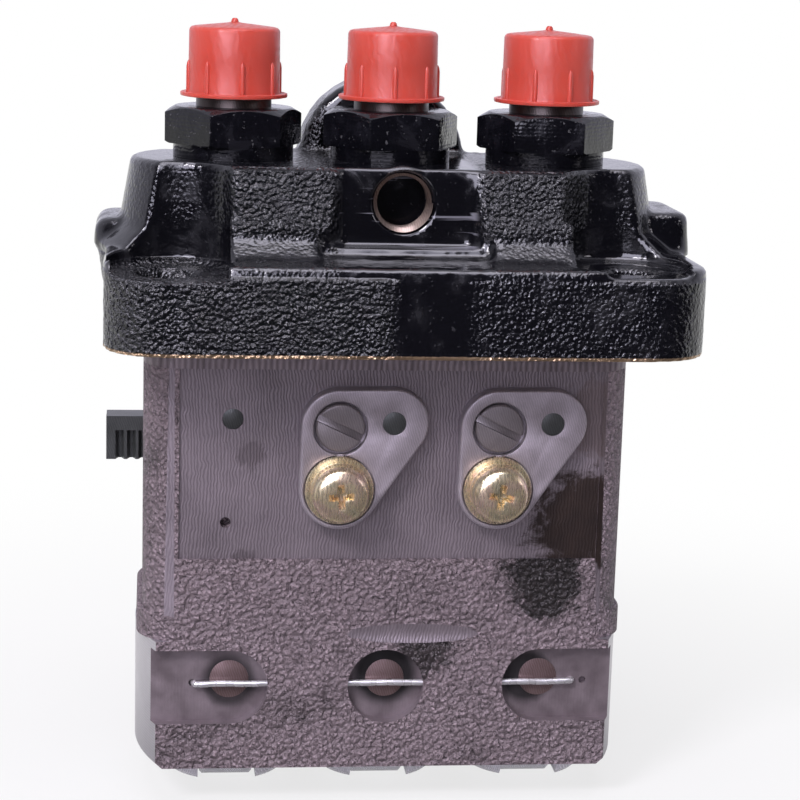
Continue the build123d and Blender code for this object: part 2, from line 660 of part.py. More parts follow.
def protective_cap(x):
    """Push-on plastic cap over a union neck."""
    inside_r = NECK_R + CAP_WALL_GAP
    inside_z = NECK_TOP_Z + CAP_INSIDE_GAP
    shell = cylinder_z(CAP_R, CAP_LOW_Z, CAP_TOP_Z)
    shell = fillet(shell.faces().sort_by(Axis.Z)[-1].edges(), CAP_EDGE_R)
    shell += cylinder_z(CAP_LIP_R, CAP_LOW_Z, CAP_LOW_Z + CAP_LIP_T)
    dome_r = CAP_R - CAP_EDGE_R
    shell += cone_z(dome_r, CAP_NUB_R, CAP_TOP_Z, CAP_TOP_Z + CAP_DOME)
    shell += cylinder_z(CAP_NUB_R, CAP_TOP_Z, CAP_TOP_Z + CAP_DOME + CAP_NUB)
    for i in range(CAP_RIBS):
        rib = block(0, CAP_R + CAP_RIB_PROUD, -CAP_RIB_W / 2, CAP_RIB_W / 2, CAP_LOW_Z, CAP_RIB_TOP_Z)
        shell += Rot(Z=(i + 0.5) * 360 / CAP_RIBS) * rib
    shell -= cylinder_z(inside_r, CAP_LOW_Z, inside_z)
    return Pos(x, 0, 0) * shell


# ================================================================ pumping element

def plunger_barrel(x):
    """Barrel: wide head in the gallery, body with the pin groove, slim stem."""
    body = cylinder_z(BARREL_HEAD_R, SHOULDER_Z, BARREL_TOP_Z)
    body += cylinder_z(BARREL_R, STEM_TOP_Z, SHOULDER_Z)
    body += cylinder_z(STEM_R, STEM_LOW_Z, STEM_TOP_Z)
    body -= cylinder_z(PLUNGER_R + RUN, STEM_LOW_Z, BARREL_TOP_Z)
    body -= cylinder_y(PORT_R, -BARREL_HEAD_R, BARREL_HEAD_R, 0, PUMP_PORT_Z)
    half = PIN_TIP_R + GAP
    top = PIN_Z + PIN_TIP_R + 1.0
    body -= block(-half, half, -BARREL_HEAD_R, PIN_TIP_Y + 2 * GAP, STEM_TOP_Z, top)
    return Pos(x, 0, 0) * body


def plunger(x):
    """Plunger with its helical control edge, guide vane and foot."""
    body = cylinder_z(PLUNGER_R, VANE_Z, PLUNGER_TOP_Z)
    neck_z = VANE_Z + VANE_T + PLUNGER_NECK
    helix_top = PLUNGER_TOP_Z - 3.0
    rise = Helix(pitch=4 * LIFT, height=LIFT, radius=PLUNGER_R)
    cutter = Plane(origin=rise @ 0, z_dir=rise % 0) * Rectangle(2 * HELIX_GROOVE, 2 * HELIX_GROOVE)
    groove = sweep(cutter, path=rise, is_frenet=True)
    body -= Pos(0, 0, helix_top - LIFT) * groove
    floor = PLUNGER_R - HELIX_GROOVE
    body -= block(floor, BIG, -HELIX_GROOVE, HELIX_GROOVE, helix_top - LIFT, PLUNGER_TOP_Z)
    waist = cylinder_z(PLUNGER_R + GAP, VANE_Z + VANE_T, neck_z)
    body -= waist - cylinder_z(PLUNGER_NECK_R, VANE_Z + VANE_T, neck_z)
    body += block(-VANE_REACH, VANE_REACH, -VANE_W / 2, VANE_W / 2, VANE_Z, VANE_Z + VANE_T)
    body += cylinder_z(PLUNGER_NECK_R, FOOT_LOW_Z, VANE_Z)
    body += cylinder_z(FOOT_R, FOOT_LOW_Z, FOOT_LOW_Z + FOOT_T)
    return Pos(x, 0, 0) * body


def gear_outline():
    """Closed outline of the sleeve's teeth, one tooth centred on +Y."""
    alpha = math.radians(PRESSURE_DEG)
    base_r = PITCH_R * math.cos(alpha)
    involute = math.tan(alpha) - alpha
    half_at_pitch = (TOOTH_PITCH - BACKLASH) / (4 * PITCH_R)

    def half_angle(r):
        reach = math.acos(min(1.0, base_r / r))
        return half_at_pitch + involute - (math.tan(reach) - reach)

    flank = [(GEAR_ROOT_R, half_angle(base_r)), (PITCH_R, half_at_pitch), (GEAR_R, half_angle(GEAR_R))]
    points = []
    for tooth in range(TEETH):
        middle = math.pi / 2 - tooth * 2 * math.pi / TEETH
        side = [(r, middle + a) for r, a in flank] + [(r, middle - a) for r, a in reversed(flank)]
        points += [(r * math.cos(a), r * math.sin(a)) for r, a in side]
    return make_face(Polyline(*points, close=True))


def control_sleeve(x):
    """Toothed sleeve that turns the plunger through two slots."""
    gear = Pos(0, 0, GEAR_LOW_Z) * extrude(gear_outline(), GEAR_TOP_Z - GEAR_LOW_Z)
    offset = (x - FIRST_GAP_X) % TOOTH_PITCH
    body = Rot(Z=math.degrees(offset / PITCH_R)) * gear
    hub_low = SPRING_STEP_Z + GAP
    body += cylinder_z(SLEEVE_HUB_R, hub_low, GEAR_LOW_Z)
    body += cylinder_z(SLEEVE_HUB_R, GEAR_TOP_Z, SLEEVE_TOP_Z)
    body += cylinder_z(SLEEVE_R, SLEEVE_LOW_Z, SLEEVE_TOP_Z)
    body -= cylinder_z(STEM_R + SLIDE, SLEEVE_LOW_Z, SLEEVE_TOP_Z)
    slot_top = VANE_Z + VANE_T + LIFT + 6 * GAP
    half = VANE_W / 2 + SLIDE
    body -= block(-BIG, BIG, -half, half, SLEEVE_LOW_Z, slot_top)
    return Pos(x, 0, 0) * body


def control_rack():
    """Rack bar: plain back and upper edge, teeth on the lower front."""
    body = block(-RACK_LEFT, RACK_RIGHT, RACK_TIP_Y, RACK_BACK_Y, RACK_LOW_Z, RACK_TOP_Z)
    slope = math.tan(math.radians(PRESSURE_DEG))
    half = TOOTH_PITCH / 4 + BACKLASH / 4
    half_tip = half + ADDENDUM * slope
    half_root = half - DEDENDUM * slope
    gap = Polyline((-half_tip, RACK_TIP_Y), (half_tip, RACK_TIP_Y), (half_root, RACK_ROOT_Y),
                   (-half_root, RACK_ROOT_Y), close=True)
    gaps = int((RACK_LEFT + RACK_RIGHT - RACK_LAND - RACK_END_LAND) / TOOTH_PITCH)
    height = RACK_STEP_Z - RACK_LOW_Z
    cutter = extrude(make_face(gap), height)
    cuts = [Pos(FIRST_GAP_X + i * TOOTH_PITCH, 0, RACK_LOW_Z) * cutter for i in range(gaps)]
    body -= cuts
    middle_z = (RACK_TOP_Z + RACK_LOW_Z) / 2
    pin_y = RACK_BACK_Y - RACK_PIN_DEPTH
    body -= cylinder_y(RACK_PIN_SHANK_R + FIT, pin_y, RACK_BACK_Y, RACK_PIN_X, middle_z)
    return body


def rack_pin():
    """Pin on the rack's back that the governor's fork takes hold of."""
    middle_z = (RACK_TOP_Z + RACK_LOW_Z) / 2
    shank_y = RACK_BACK_Y - RACK_PIN_DEPTH
    journal = cylinder_y(RACK_PIN_R, RACK_PIN_STEP_Y, RACK_PIN_END_Y, RACK_PIN_X, middle_z)
    journal = chamfer(journal.faces().sort_by(Axis.Y)[-1].edges(), 0.5)
    return journal + cylinder_y(RACK_PIN_SHANK_R, shank_y, RACK_PIN_STEP_Y, RACK_PIN_X, middle_z)


# ================================================================ springs and tappets

def upper_spring_seat(x):
    """Washer under the housing's step that carries the plunger spring."""
    ring = cylinder_z(UPPER_SEAT_R, UPPER_SEAT_LOW_Z, SPRING_STEP_Z, x)
    return ring - cylinder_z(SLEEVE_R + LOOSE, UPPER_SEAT_LOW_Z, SPRING_STEP_Z, x)


def plunger_spring(x):
    """Spring that returns the plunger and the tappet."""
    return coil(SPRING_R, WIRE_R, LOWER_SEAT_TOP_Z, UPPER_SEAT_LOW_Z, SPRING_TURNS, x)


def lower_spring_seat(x):
    """Spring seat with the keyhole that hooks on the plunger's foot."""
    flange_z = LOWER_SEAT_TOP_Z - LOWER_SEAT_T
    body = cylinder_z(LOWER_SEAT_R, flange_z, LOWER_SEAT_TOP_Z)
    body += cylinder_z(LOWER_SEAT_HUB_R, TAPPET_FLOOR_Z, flange_z)
    ceiling = FOOT_LOW_Z + FOOT_T + GAP
    neck = PLUNGER_NECK_R + LOOSE
    foot = FOOT_R + LOOSE
    body -= cylinder_z(neck, ceiling, LOWER_SEAT_TOP_Z)
    body -= cylinder_z(foot, TAPPET_FLOOR_Z, ceiling)
    body -= block(-neck, neck, 0, BIG, ceiling, LOWER_SEAT_TOP_Z)
    body -= block(-foot, foot, 0, BIG, TAPPET_FLOOR_Z, ceiling)
    return Pos(x, 0, 0) * body


def tappet(x):
    """Roller tappet: cup above, forked skirt below, guide slot in front."""
    body = cylinder_z(TAPPET_R, TAPPET_LOW_Z, TAPPET_TOP_Z)
    body = chamfer(body.edges().filter_by(GeomType.CIRCLE), TAPPET_CHAMFER)
    body -= cylinder_z(TAPPET_CUP_R, TAPPET_FLOOR_Z, TAPPET_TOP_Z)
    half = ROLLER_W / 2 + ROLLER_SIDE
    body -= block(-half, half, -BIG, BIG, TAPPET_LOW_Z, TAPPET_FLOOR_Z - TAPPET_FLOOR_T)
    body -= cylinder_x(ROLLER_PIN_R + FIT, -ROLLER_PIN / 2, ROLLER_PIN / 2, 0, ROLLER_Z)
    slot_top = GUIDE_Z + GUIDE_TIP_R + GUIDE_REST
    slot_low = GUIDE_Z - GUIDE_TIP_R - LIFT - 2 * GUIDE_REST
    slot_half = GUIDE_TIP_R + GAP
    body -= block(-slot_half, slot_half, -BIG, -TAPPET_CUP_R + GAP, slot_low, slot_top)
    return Pos(x, 0, 0) * body


def tappet_roller(x):
    """Roller that runs on the cam."""
    roller = cylinder_x(ROLLER_R, -ROLLER_W / 2, ROLLER_W / 2, 0, ROLLER_Z)
    roller = chamfer(roller.edges().filter_by(GeomType.CIRCLE), 0.4)
    roller -= cylinder_x(ROLLER_PIN_R + RUN, -ROLLER_W / 2, ROLLER_W / 2, 0, ROLLER_Z)
    return Pos(x, 0, 0) * roller


def roller_pin(x):
    """Pin that carries the roller in the tappet's skirt."""
    end = ROLLER_PIN / 2 - FIT
    return cylinder_x(ROLLER_PIN_R, x - end, x + end, 0, ROLLER_Z)


def tappet_guide_pins():
    """Headed pins whose tips run in the tappets' slots."""
    pins = []
    for x in ROW:
        step_y = POCKET_FLOOR_Y + GUIDE_HEAD_T
        pin = cylinder_y(GUIDE_HEAD_R, POCKET_FLOOR_Y, step_y, x, GUIDE_Z)
        pins.append(pin + cylinder_y(GUIDE_TIP_R, step_y, GUIDE_TIP_Y, x, GUIDE_Z))
    return Compound(children=pins)


def guide_pin_retainers():
    """Wires across the guide pins, caught in the pocket walls."""
    wires = []
    for x in ROW:
        left, right = retainer_ends(x)
        wire = cylinder_x(RETAINER_R, left, right, RETAINER_Y, RETAINER_Z)
        if x:
            leg_x = x + math.copysign(wire_reach(x), x)
            leg_end = POCKET_FLOOR_Y + RETAINER_BITE
            wire += cylinder_y(RETAINER_R, RETAINER_Y, leg_end, leg_x, RETAINER_Z)
            wire += Pos(leg_x, RETAINER_Y, RETAINER_Z) * Sphere(RETAINER_R)
        wires.append(wire)
    return Compound(children=wires)


# ================================================================ delivery adjusters

def barrel_locating_pin():
    """Fixed pin of the first barrel, the reference for the other two."""
    pin = cylinder_y(FIXED_PIN_R, PANEL_Y + 2 * GAP, -BARREL_R - 0.5, ROW[0], PIN_Z)
    return pin + cylinder_y(PIN_TIP_R, -BARREL_R - 0.5, PIN_TIP_Y, ROW[0], PIN_Z)


def adjusting_plate(x):
    """Plate that shifts a barrel's pin: three rounded corners, bevelled edge."""
    corners = [
        Pos(0, PIN_Z) * Circle(PLATE_PIN_END_R),
        Pos(ECC_X, ECC_Z) * Circle(PLATE_ECC_END_R),
        Pos(CLAMP_X, CLAMP_Z) * Circle(PLATE_CLAMP_END_R),
    ]
    outline = make_hull([edge for corner in corners for edge in corner.edges()])
    front = Plane((x, PANEL_Y, 0), x_dir=(1, 0, 0), z_dir=(0, -1, 0))
    body = extrude(front * outline, PLATE_T)
    body = chamfer(body.faces().sort_by(Axis.Y)[0].edges(), PLATE_EDGE)
    body -= cylinder_y(PLATE_PIN_R + FIT, PLATE_FACE_Y, PANEL_Y, x, PIN_Z)
    body -= cylinder_y(ECC_RECESS_R, PLATE_FACE_Y, PLATE_FACE_Y + ECC_RECESS, x + ECC_X, ECC_Z)
    body -= cylinder_y(ECC_CAM_R + LOOSE, PLATE_FACE_Y, PANEL_Y, x + ECC_X, ECC_Z)
    body -= cylinder_y(CLAMP_RECESS_R, PLATE_FACE_Y, PLATE_FACE_Y + CLAMP_RECESS, x + CLAMP_X, CLAMP_Z)
    body -= cylinder_y(CLAMP_PASS_R, PLATE_FACE_Y, PANEL_Y, x + CLAMP_X, CLAMP_Z)
    return body


def plate_pin(x):
    """Pin pressed in the plate, its tip in the barrel's groove."""
    pin = cylinder_y(PLATE_PIN_R, PLATE_FACE_Y + 2 * GAP, PANEL_Y, x, PIN_Z)
    return pin + cylinder_y(PIN_TIP_R, PANEL_Y, PIN_TIP_Y, x, PIN_Z)


def eccentric_screw(x):
    """Slotted screw whose offset cam pushes the plate sideways."""
    head_y = PLATE_FACE_Y + 2 * GAP
    head_end_y = PLATE_FACE_Y + ECC_RECESS - GAP / 2
    cam_end_y = PANEL_Y - GAP / 2
    px = x + ECC_X
    body = cylinder_y(ECC_HEAD_R, head_y, head_end_y, px, ECC_Z)
    body = chamfer(body.faces().sort_by(Axis.Y)[0].edges(), PLATE_EDGE)
    body += cylinder_y(ECC_CAM_R, head_end_y, cam_end_y, px, ECC_Z)
    body += cylinder_y(ECC_SHANK_R, cam_end_y, ECC_SHANK_END_Y, px, ECC_Z - ECC_THROW)
    slot = block(-BIG, BIG, head_y, head_y + ECC_SLOT_DEPTH, -ECC_SLOT_W / 2, ECC_SLOT_W / 2)
    body -= Pos(px, 0, ECC_Z) * Rot(Y=ECC_SLOT_TURN) * slot
    return body


def clamp_stack():
    """Depths of the clamp screw's washers and head, from the plate outwards."""
    washer_y = PLATE_FACE_Y + CLAMP_RECESS
    lock_y = washer_y - WASHER_T
    head_y = lock_y - LOCK_WASHER_T
    return washer_y, lock_y, head_y, head_y - CLAMP_HEAD_T


def plate_clamp_screws():
    """Cross-recessed pan head screws that lock the plates."""
    screws = []
    for x in ROW[1:]:
        px = x + CLAMP_X
        _, _, head_y, face_y = clamp_stack()
        head_part = cylinder_y(CLAMP_HEAD_R, face_y, head_y, px, CLAMP_Z)
        head_part = fillet(head_part.faces().sort_by(Axis.Y)[0].edges(), CLAMP_HEAD_EDGE)
        body = head_part + cylinder_y(CLAMP_R, head_y, CLAMP_END_Y, px, CLAMP_Z)
        arm = block(-CROSS_L / 2, CROSS_L / 2, face_y, face_y + CROSS_DEPTH, -CROSS_W / 2, CROSS_W / 2)
        cross = arm + Rot(Y=90) * arm
        screws.append(body - Pos(px, 0, CLAMP_Z) * cross)
    return Compound(children=screws)


def clamp_washers():
    """Flat washers under the clamp screws."""
    washer_y, lock_y, _, _ = clamp_stack()
    rings = []
    for x in ROW[1:]:
        px = x + CLAMP_X
        ring = cylinder_y(WASHER_R, lock_y, washer_y, px, CLAMP_Z)
        rings.append(ring - cylinder_y(CLAMP_R + FIT, lock_y, washer_y, px, CLAMP_Z))
    return Compound(children=rings)


def clamp_lock_washers():
    """Split spring washers under the clamp screws' heads."""
    _, lock_y, head_y, _ = clamp_stack()
    rings = []
    for x in ROW[1:]:
        px = x + CLAMP_X
        ring = cylinder_y(LOCK_WASHER_R, head_y, lock_y, px, CLAMP_Z)
        ring -= cylinder_y(CLAMP_R + FIT, head_y, lock_y, px, CLAMP_Z)
        split = block(0, BIG, head_y, lock_y, -LOCK_WASHER_SPLIT / 2, LOCK_WASHER_SPLIT / 2)
        rings.append(ring - Pos(px, 0, CLAMP_Z) * Rot(Y=40) * split)
    return Compound(children=rings)


# ================================================================ all nodes

def nodes():
    """Every piece by its node name."""
    parts = {
        "pump_housing": pump_housing(),
        "fuel_gallery_plug": fuel_gallery_plug(),
        "holder_o_rings": holder_o_rings(),
        "delivery_gaskets": delivery_gaskets(),
        "control_rack": control_rack(),
        "rack_pin": rack_pin(),
        "tappet_guide_pins": tappet_guide_pins(),
        "guide_pin_retainers": guide_pin_retainers(),
        "barrel_locating_pin": barrel_locating_pin(),
        "plate_clamp_screws": plate_clamp_screws(),
        "clamp_washers": clamp_washers(),
        "clamp_lock_washers": clamp_lock_washers(),
    }
    per_element = {
        "protective_cap": protective_cap,
        "delivery_valve_seat": delivery_valve_seat,
        "delivery_valve": delivery_valve,
        "delivery_valve_spring": delivery_valve_spring,
        "plunger_barrel": plunger_barrel,
        "plunger": plunger,
        "control_sleeve": control_sleeve,
        "upper_spring_seat": upper_spring_seat,
        "plunger_spring": plunger_spring,
        "lower_spring_seat": lower_spring_seat,
        "tappet": tappet,
        "tappet_roller": tappet_roller,
        "roller_pin": roller_pin,
    }
    for number, x in enumerate(ROW, start=1):
        parts[f"delivery_valve_holder_{number}"] = delivery_valve_holder(x, HEX_TURN[number - 1])
        for name, make in per_element.items():
            parts[f"{name}_{number}"] = make(x)
        if number > 1:
            parts[f"adjusting_plate_{number}"] = adjusting_plate(x)
            parts[f"plate_pin_{number}"] = plate_pin(x)
            parts[f"eccentric_screw_{number}"] = eccentric_screw(x)
    return parts


os.makedirs("parts", exist_ok=True)
for name, shape in nodes().items():
    export_step(shape, f"parts/{name}.step")
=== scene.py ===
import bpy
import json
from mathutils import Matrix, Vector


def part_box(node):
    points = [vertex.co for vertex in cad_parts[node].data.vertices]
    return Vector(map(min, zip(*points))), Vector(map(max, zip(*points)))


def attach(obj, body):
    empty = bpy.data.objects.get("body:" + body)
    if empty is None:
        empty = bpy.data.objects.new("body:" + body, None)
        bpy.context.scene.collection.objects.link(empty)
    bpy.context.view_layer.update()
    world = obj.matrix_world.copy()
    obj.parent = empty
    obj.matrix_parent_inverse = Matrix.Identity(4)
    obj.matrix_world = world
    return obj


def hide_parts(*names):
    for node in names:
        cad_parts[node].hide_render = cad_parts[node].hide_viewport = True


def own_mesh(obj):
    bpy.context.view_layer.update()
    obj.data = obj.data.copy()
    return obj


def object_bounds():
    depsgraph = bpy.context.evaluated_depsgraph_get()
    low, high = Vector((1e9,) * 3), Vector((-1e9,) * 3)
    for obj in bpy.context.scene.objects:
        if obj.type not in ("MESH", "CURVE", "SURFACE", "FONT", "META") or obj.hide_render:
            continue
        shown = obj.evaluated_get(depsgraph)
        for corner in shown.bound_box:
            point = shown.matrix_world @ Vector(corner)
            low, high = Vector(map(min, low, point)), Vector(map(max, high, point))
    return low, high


bl_info = {
    "name": "Diesel injection pump",
    "version": (1, 0, 0),
    "blender": (4, 5, 0),
    "location": "3D View > Sidebar > Pump",
    "description": "Dresses the packed injection pump and sets its stage",
    "category": "Object",
}

import json
import math

import bpy
from mathutils import Matrix, Vector

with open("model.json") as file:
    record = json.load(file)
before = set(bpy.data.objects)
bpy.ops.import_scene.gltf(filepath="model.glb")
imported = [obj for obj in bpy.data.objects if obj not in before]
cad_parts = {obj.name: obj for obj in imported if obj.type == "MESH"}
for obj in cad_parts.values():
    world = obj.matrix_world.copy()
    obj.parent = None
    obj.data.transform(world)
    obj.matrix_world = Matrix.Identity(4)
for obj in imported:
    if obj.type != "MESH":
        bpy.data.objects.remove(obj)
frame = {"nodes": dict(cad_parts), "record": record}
CAD_BOX = [list(corner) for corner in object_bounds()]
NODES = frame["nodes"]
MM = 0.001

SLOTS = {row["node"]: row["material_slot"] for row in frame["record"]["subparts"]}

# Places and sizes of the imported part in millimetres. Its front looks towards -Y.
ROW = (-25.0, 0.0, 25.0)  # middle lines of the three elements
DECK_Z = 27.0  # top of the head
DECK_BACK_Y = 11.0
FLANGE_TOP_Z = 13.0
BORE_R = 8.56
BOLT_PLACES = ((-35.3, -20.6), (-35.3, 20.6), (35.3, -20.6), (35.3, 20.6))
BOLT_R = 4.47
SPOTFACE_R = 11.5
BLEED = dict(x=0.6, z=21.8, r=4.5, face=-15.9, end=-9.8, side=-1, chamfer=0.75, pitch=1.25, depth=0.5)
INLET = dict(x=0.0, z=25.6, r=6.25, face=23.0, end=12.6, side=1, chamfer=1.0, pitch=1.5, depth=0.75)
FRONT_Y = -15.9  # front of the bare body
TURNED_R = 39.7  # round-turned ends of the bare body
TURNED_X = -0.3
TURNED_TOP_Z = -48.4
UNDERSIDE_Z = -69.4
BORE_WALL_R = 10.8  # no bore of the bare body is wider
PANEL_Y = -15.4  # milled panel behind the plates
PANEL_TOP = -4.4
PANEL_LOW = -34.9
NECK_Z = 35.1  # the holders are bare above this
RETAINER_Y = -14.67
RETAINER_Z = -55.8
WIRE_R = 0.53
CLAMP_X = (-8.4, ROW[2] - 8.4)
CLAMP_Z = -23.1

# How the pieces are made, in millimetres.
FAR, SIDE = 90, 60  # half sizes of boxes that cut right through
WELD = 0.002  # vertices of a CAD mesh closer than this are one
HOLE_SPARE = 3  # how far a cutting tool stands out of what it cuts
SEAM_Z = 1.5  # the paint's lumps fade out towards the machined underside
SHANK_R = 2.5
HEAD_R = 4.4
HEAD_T = 3.2
HEAD_PROFILE = (  # radius and depth below the top of a pan head
    (4.25, HEAD_T), (HEAD_R, 3.05), (HEAD_R, 1.5), (4.28, 0.95), (3.95, 0.48), (3.4, 0.18),
    (2.6, 0.02), (1.5, 0))
WASHER_BORE_R = 2.62
WASHER_RIM = 0.16
CAP_R = 7.2  # where the cap's ribs stand
CAP_RIBS = 8
CAP_BORE_R = 6.12
RIB_PROFILE = ((0.42, 0.3), (0.40, 4.6), (0.30, 5.2), (0.12, 5.6))
THREAD_RUNOUT = 0.9
THREAD_STEPS = 40  # facets in a turn

# Looks.
WHITE = (1, 1, 1, 1)
FLOOR_COLOUR = (0.8, 0.8, 0.82, 1)
ROOM_COLOUR = (0.95, 0.90, 1.0, 1)
MIRRORED_COLOUR = (0.86, 0.85, 1.0, 1)
LAMP_COLOUR = (0.97, 0.925, 1.0)
GLOSS_LAMP_COLOUR = (0.84, 0.82, 1.0)
OIL = (0.016, 0.013, 0.013)
QUARTER_ABOUT_Y = (0, math.radians(90), 0)

FLOOR_SIZE = 6  # metres
SENSOR = 36  # width in millimetres
# Camera: place in metres, then pitch, yaw and roll in degrees.
CAMERA_PLACE = (-0.03781, -0.35113, 0.06012)
CAMERA_TURN = (11.59, 6.6, 1.71)

# Mesh helpers


def deselect_all():
    """Leaves edit mode and selects nothing."""
    active = bpy.context.object
    if active and active.mode != "OBJECT":
        bpy.ops.object.mode_set(mode="OBJECT")
    bpy.ops.object.select_all(action="DESELECT")


def take(obj):
    """Makes obj the only selected one."""
    deselect_all()
    obj.select_set(True)
    bpy.context.view_layer.objects.active = obj


def edit_all(piece, *steps):
    """Runs edit-mode steps on a piece's whole mesh."""
    take(piece)
    bpy.ops.object.mode_set(mode="EDIT")
    bpy.ops.mesh.select_all(action="SELECT")
    for step in steps:
        step()
    bpy.ops.object.mode_set(mode="OBJECT")


def face_outwards():
    """Turns the selected faces outwards, in edit mode."""
    bpy.ops.mesh.normals_make_consistent(inside=False)


def node_copy(node, name):
    """A merged copy of a CAD node's mesh, as a new piece."""
    piece = bpy.data.objects.new(name, NODES[node].data.copy())
    bpy.context.scene.collection.objects.link(piece)
    piece.data.materials.clear()
    edit_all(
        piece, lambda: bpy.ops.mesh.remove_doubles(threshold=WELD * MM),
        bpy.ops.mesh.customdata_custom_splitnormals_clear)
    return piece


def modify(piece, kind, **settings):
    """Adds a modifier with these settings and applies it."""
    modifier = piece.modifiers.new(kind.title(), kind)
    for name, value in settings.items():
        setattr(modifier, name, value)
    take(piece)
    bpy.ops.object.modifier_apply(modifier=modifier.name)
    return piece


def combine(piece, tool, operation):
    """Boolean of piece with tool, which is used up."""
    modify(piece, "BOOLEAN", object=tool, operation=operation, solver="MANIFOLD")
    bpy.data.objects.remove(tool)


def join(pieces):
    """One object out of several."""
    take(pieces[0])
    for piece in pieces[1:]:
        piece.select_set(True)
    bpy.ops.object.join()
    return bpy.context.object


def smooth(piece, degrees):
    """Smooth shading, with sharp edges over this angle."""
    take(piece)
    bpy.ops.object.shade_smooth_by_angle(angle=math.radians(degrees))
    return piece


def soften(piece, width, segments, degrees):
    """Bevels edges sharper than an angle, by a width in millimetres."""
    return modify(
        piece, "BEVEL", width=width * MM, segments=segments, limit_method="ANGLE",
        angle_limit=math.radians(degrees))


def settle(piece, name, body, slot, finishes, *replaced):
    """Puts the piece's place in its mesh, dresses it and hands it to its body."""
    take(piece)
    bpy.ops.object.transform_apply(location=True, rotation=True, scale=True)
    piece.name = name
    piece.data.name = name
    piece.data.materials.clear()
    for short in finishes:
        piece.data.materials.append(finish(short))
    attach(piece, body)
    if replaced:
        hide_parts(*replaced)


def lathe(rings, sides=64):
    """Closed solid about Z, raised ring by ring through (radius, height) in millimetres."""
    deselect_all()
    radius, height = rings[0]
    bpy.ops.mesh.primitive_circle_add(
        vertices=sides, radius=radius * MM, location=(0, 0, height * MM), fill_type="NGON")
    piece = bpy.context.object
    bpy.ops.object.transform_apply(location=True)
    bpy.ops.object.mode_set(mode="EDIT")
    bpy.ops.mesh.select_all(action="SELECT")
    for next_radius, next_height in rings[1:]:
        step = (0, 0, (next_height - height) * MM)
        bpy.ops.mesh.extrude_region_move(TRANSFORM_OT_translate={"value": step})
        grow = next_radius / radius
        if grow != 1:
            bpy.ops.transform.resize(value=(grow, grow, 1), center_override=(0, 0, next_height * MM))
        radius, height = next_radius, next_height
    edit_all(piece, face_outwards)
    return piece


def turn_to(piece, direction, place):
    """Turns a piece made about Z to point along direction, then moves it."""
    turn = Vector((0, 0, 1)).rotation_difference(Vector(direction)).to_matrix().to_4x4()
    piece.data.transform(Matrix.Translation(Vector(place) * MM) @ turn)
    return piece


def spin(piece, degrees):
    """Turns a piece about Z."""
    piece.data.transform(Matrix.Rotation(math.radians(degrees), 4, "Z"))
    return piece


def bar(x0, x1, y0, y1, z0, z1):
    """Box between two corners, in millimetres."""
    deselect_all()
    middle = ((x0 + x1) / 2 * MM, (y0 + y1) / 2 * MM, (z0 + z1) / 2 * MM)
    bpy.ops.mesh.primitive_cube_add(size=1, location=middle)
    piece = bpy.context.object
    piece.scale = (abs(x1 - x0) * MM, abs(y1 - y0) * MM, abs(z1 - z0) * MM)
    bpy.ops.object.transform_apply(location=True, rotation=True, scale=True)
    return piece


# Shader helpers and groups


def group(name, values, results):
    """A new shader group of a vector and named values: (tree, what it is given, what it gives)."""
    tree = bpy.data.node_groups.new(name, "ShaderNodeTree")
    sockets = [("Vector", "INPUT", "NodeSocketVector")]
    sockets += [(label, "INPUT", "NodeSocketFloat") for label in values]
    sockets += [(label, "OUTPUT", "NodeSocketFloat") for label in results]
    for label, way, kind in sockets:
        tree.interface.new_socket(name=label, in_out=way, socket_type=kind)
    return tree, tree.nodes.new("NodeGroupInput").outputs, tree.nodes.new("NodeGroupOutput").inputs


def feed(tree, socket, value):
    """Links a socket to another or sets a value on it."""
    if isinstance(value, bpy.types.NodeSocket):
        tree.links.new(value, socket)
    else:
        socket.default_value = value


def new_node(tree, kind, **values):
    """A shader node with inputs fed by name, from sockets or values."""
    node = tree.nodes.new("ShaderNode" + kind)
    for label, value in values.items():
        feed(tree, node.inputs[label.replace("_", " ")], value)
    return node


def maths(tree, operation, *values):
    """A Math node fed by sockets or numbers; returns its output."""
    node = new_node(tree, "Math")
    node.operation = operation
    for socket, value in zip(node.inputs, values):
        feed(tree, socket, value)
    return node.outputs[0]


def times(tree, value, *others):
    """Product of sockets and numbers."""
    for other in others:
        value = maths(tree, "MULTIPLY", value, other)
    return value


def most(tree, value, *others):
    """Greatest of sockets and numbers."""
    for other in others:
        value = maths(tree, "MAXIMUM", value, other)
    return value


def apart(tree, vector):
    """The parts of a vector: x, y, z."""
    return new_node(tree, "SeparateXYZ", Vector=vector).outputs


def length_node(tree, vector):
    """Length of a vector."""
    node = new_node(tree, "VectorMath", Vector=vector)
    node.operation = "LENGTH"
    return node.outputs["Value"]


def noise(tree, vector, scale, detail, roughness, distortion=0.0):
    """Factor of a Noise texture; scale may be a socket."""
    node = new_node(
        tree, "TexNoise", Vector=vector, Scale=scale, Detail=detail, Roughness=roughness,
        Distortion=distortion)
    return node.outputs["Fac"]


def ramp(tree, value, low, high, to_low=0.0, to_high=1.0):
    """Smooth Map Range of a socket; returns its output."""
    node = new_node(
        tree, "MapRange", Value=value, From_Min=low, From_Max=high, To_Min=to_low, To_Max=to_high)
    node.interpolation_type = "SMOOTHSTEP"
    return node.outputs["Result"]


def mix(tree, factor, a, b):
    """Mix of two colours by a socket; each may be a socket or a colour."""
    node = new_node(tree, "Mix", Factor=factor)
    node.data_type = "RGBA"
    for socket, value in ((node.inputs[6], a), (node.inputs[7], b)):
        feed(tree, socket, value if isinstance(value, bpy.types.NodeSocket) else (*value[:3], 1.0))
    return node.outputs[2]


def mix_shader(tree, factor, a, b):
    """Mix of two shaders by a socket."""
    node = new_node(tree, "MixShader")
    for socket, value in zip(node.inputs, (factor, a, b)):
        tree.links.new(value, socket)
    return node.outputs[0]


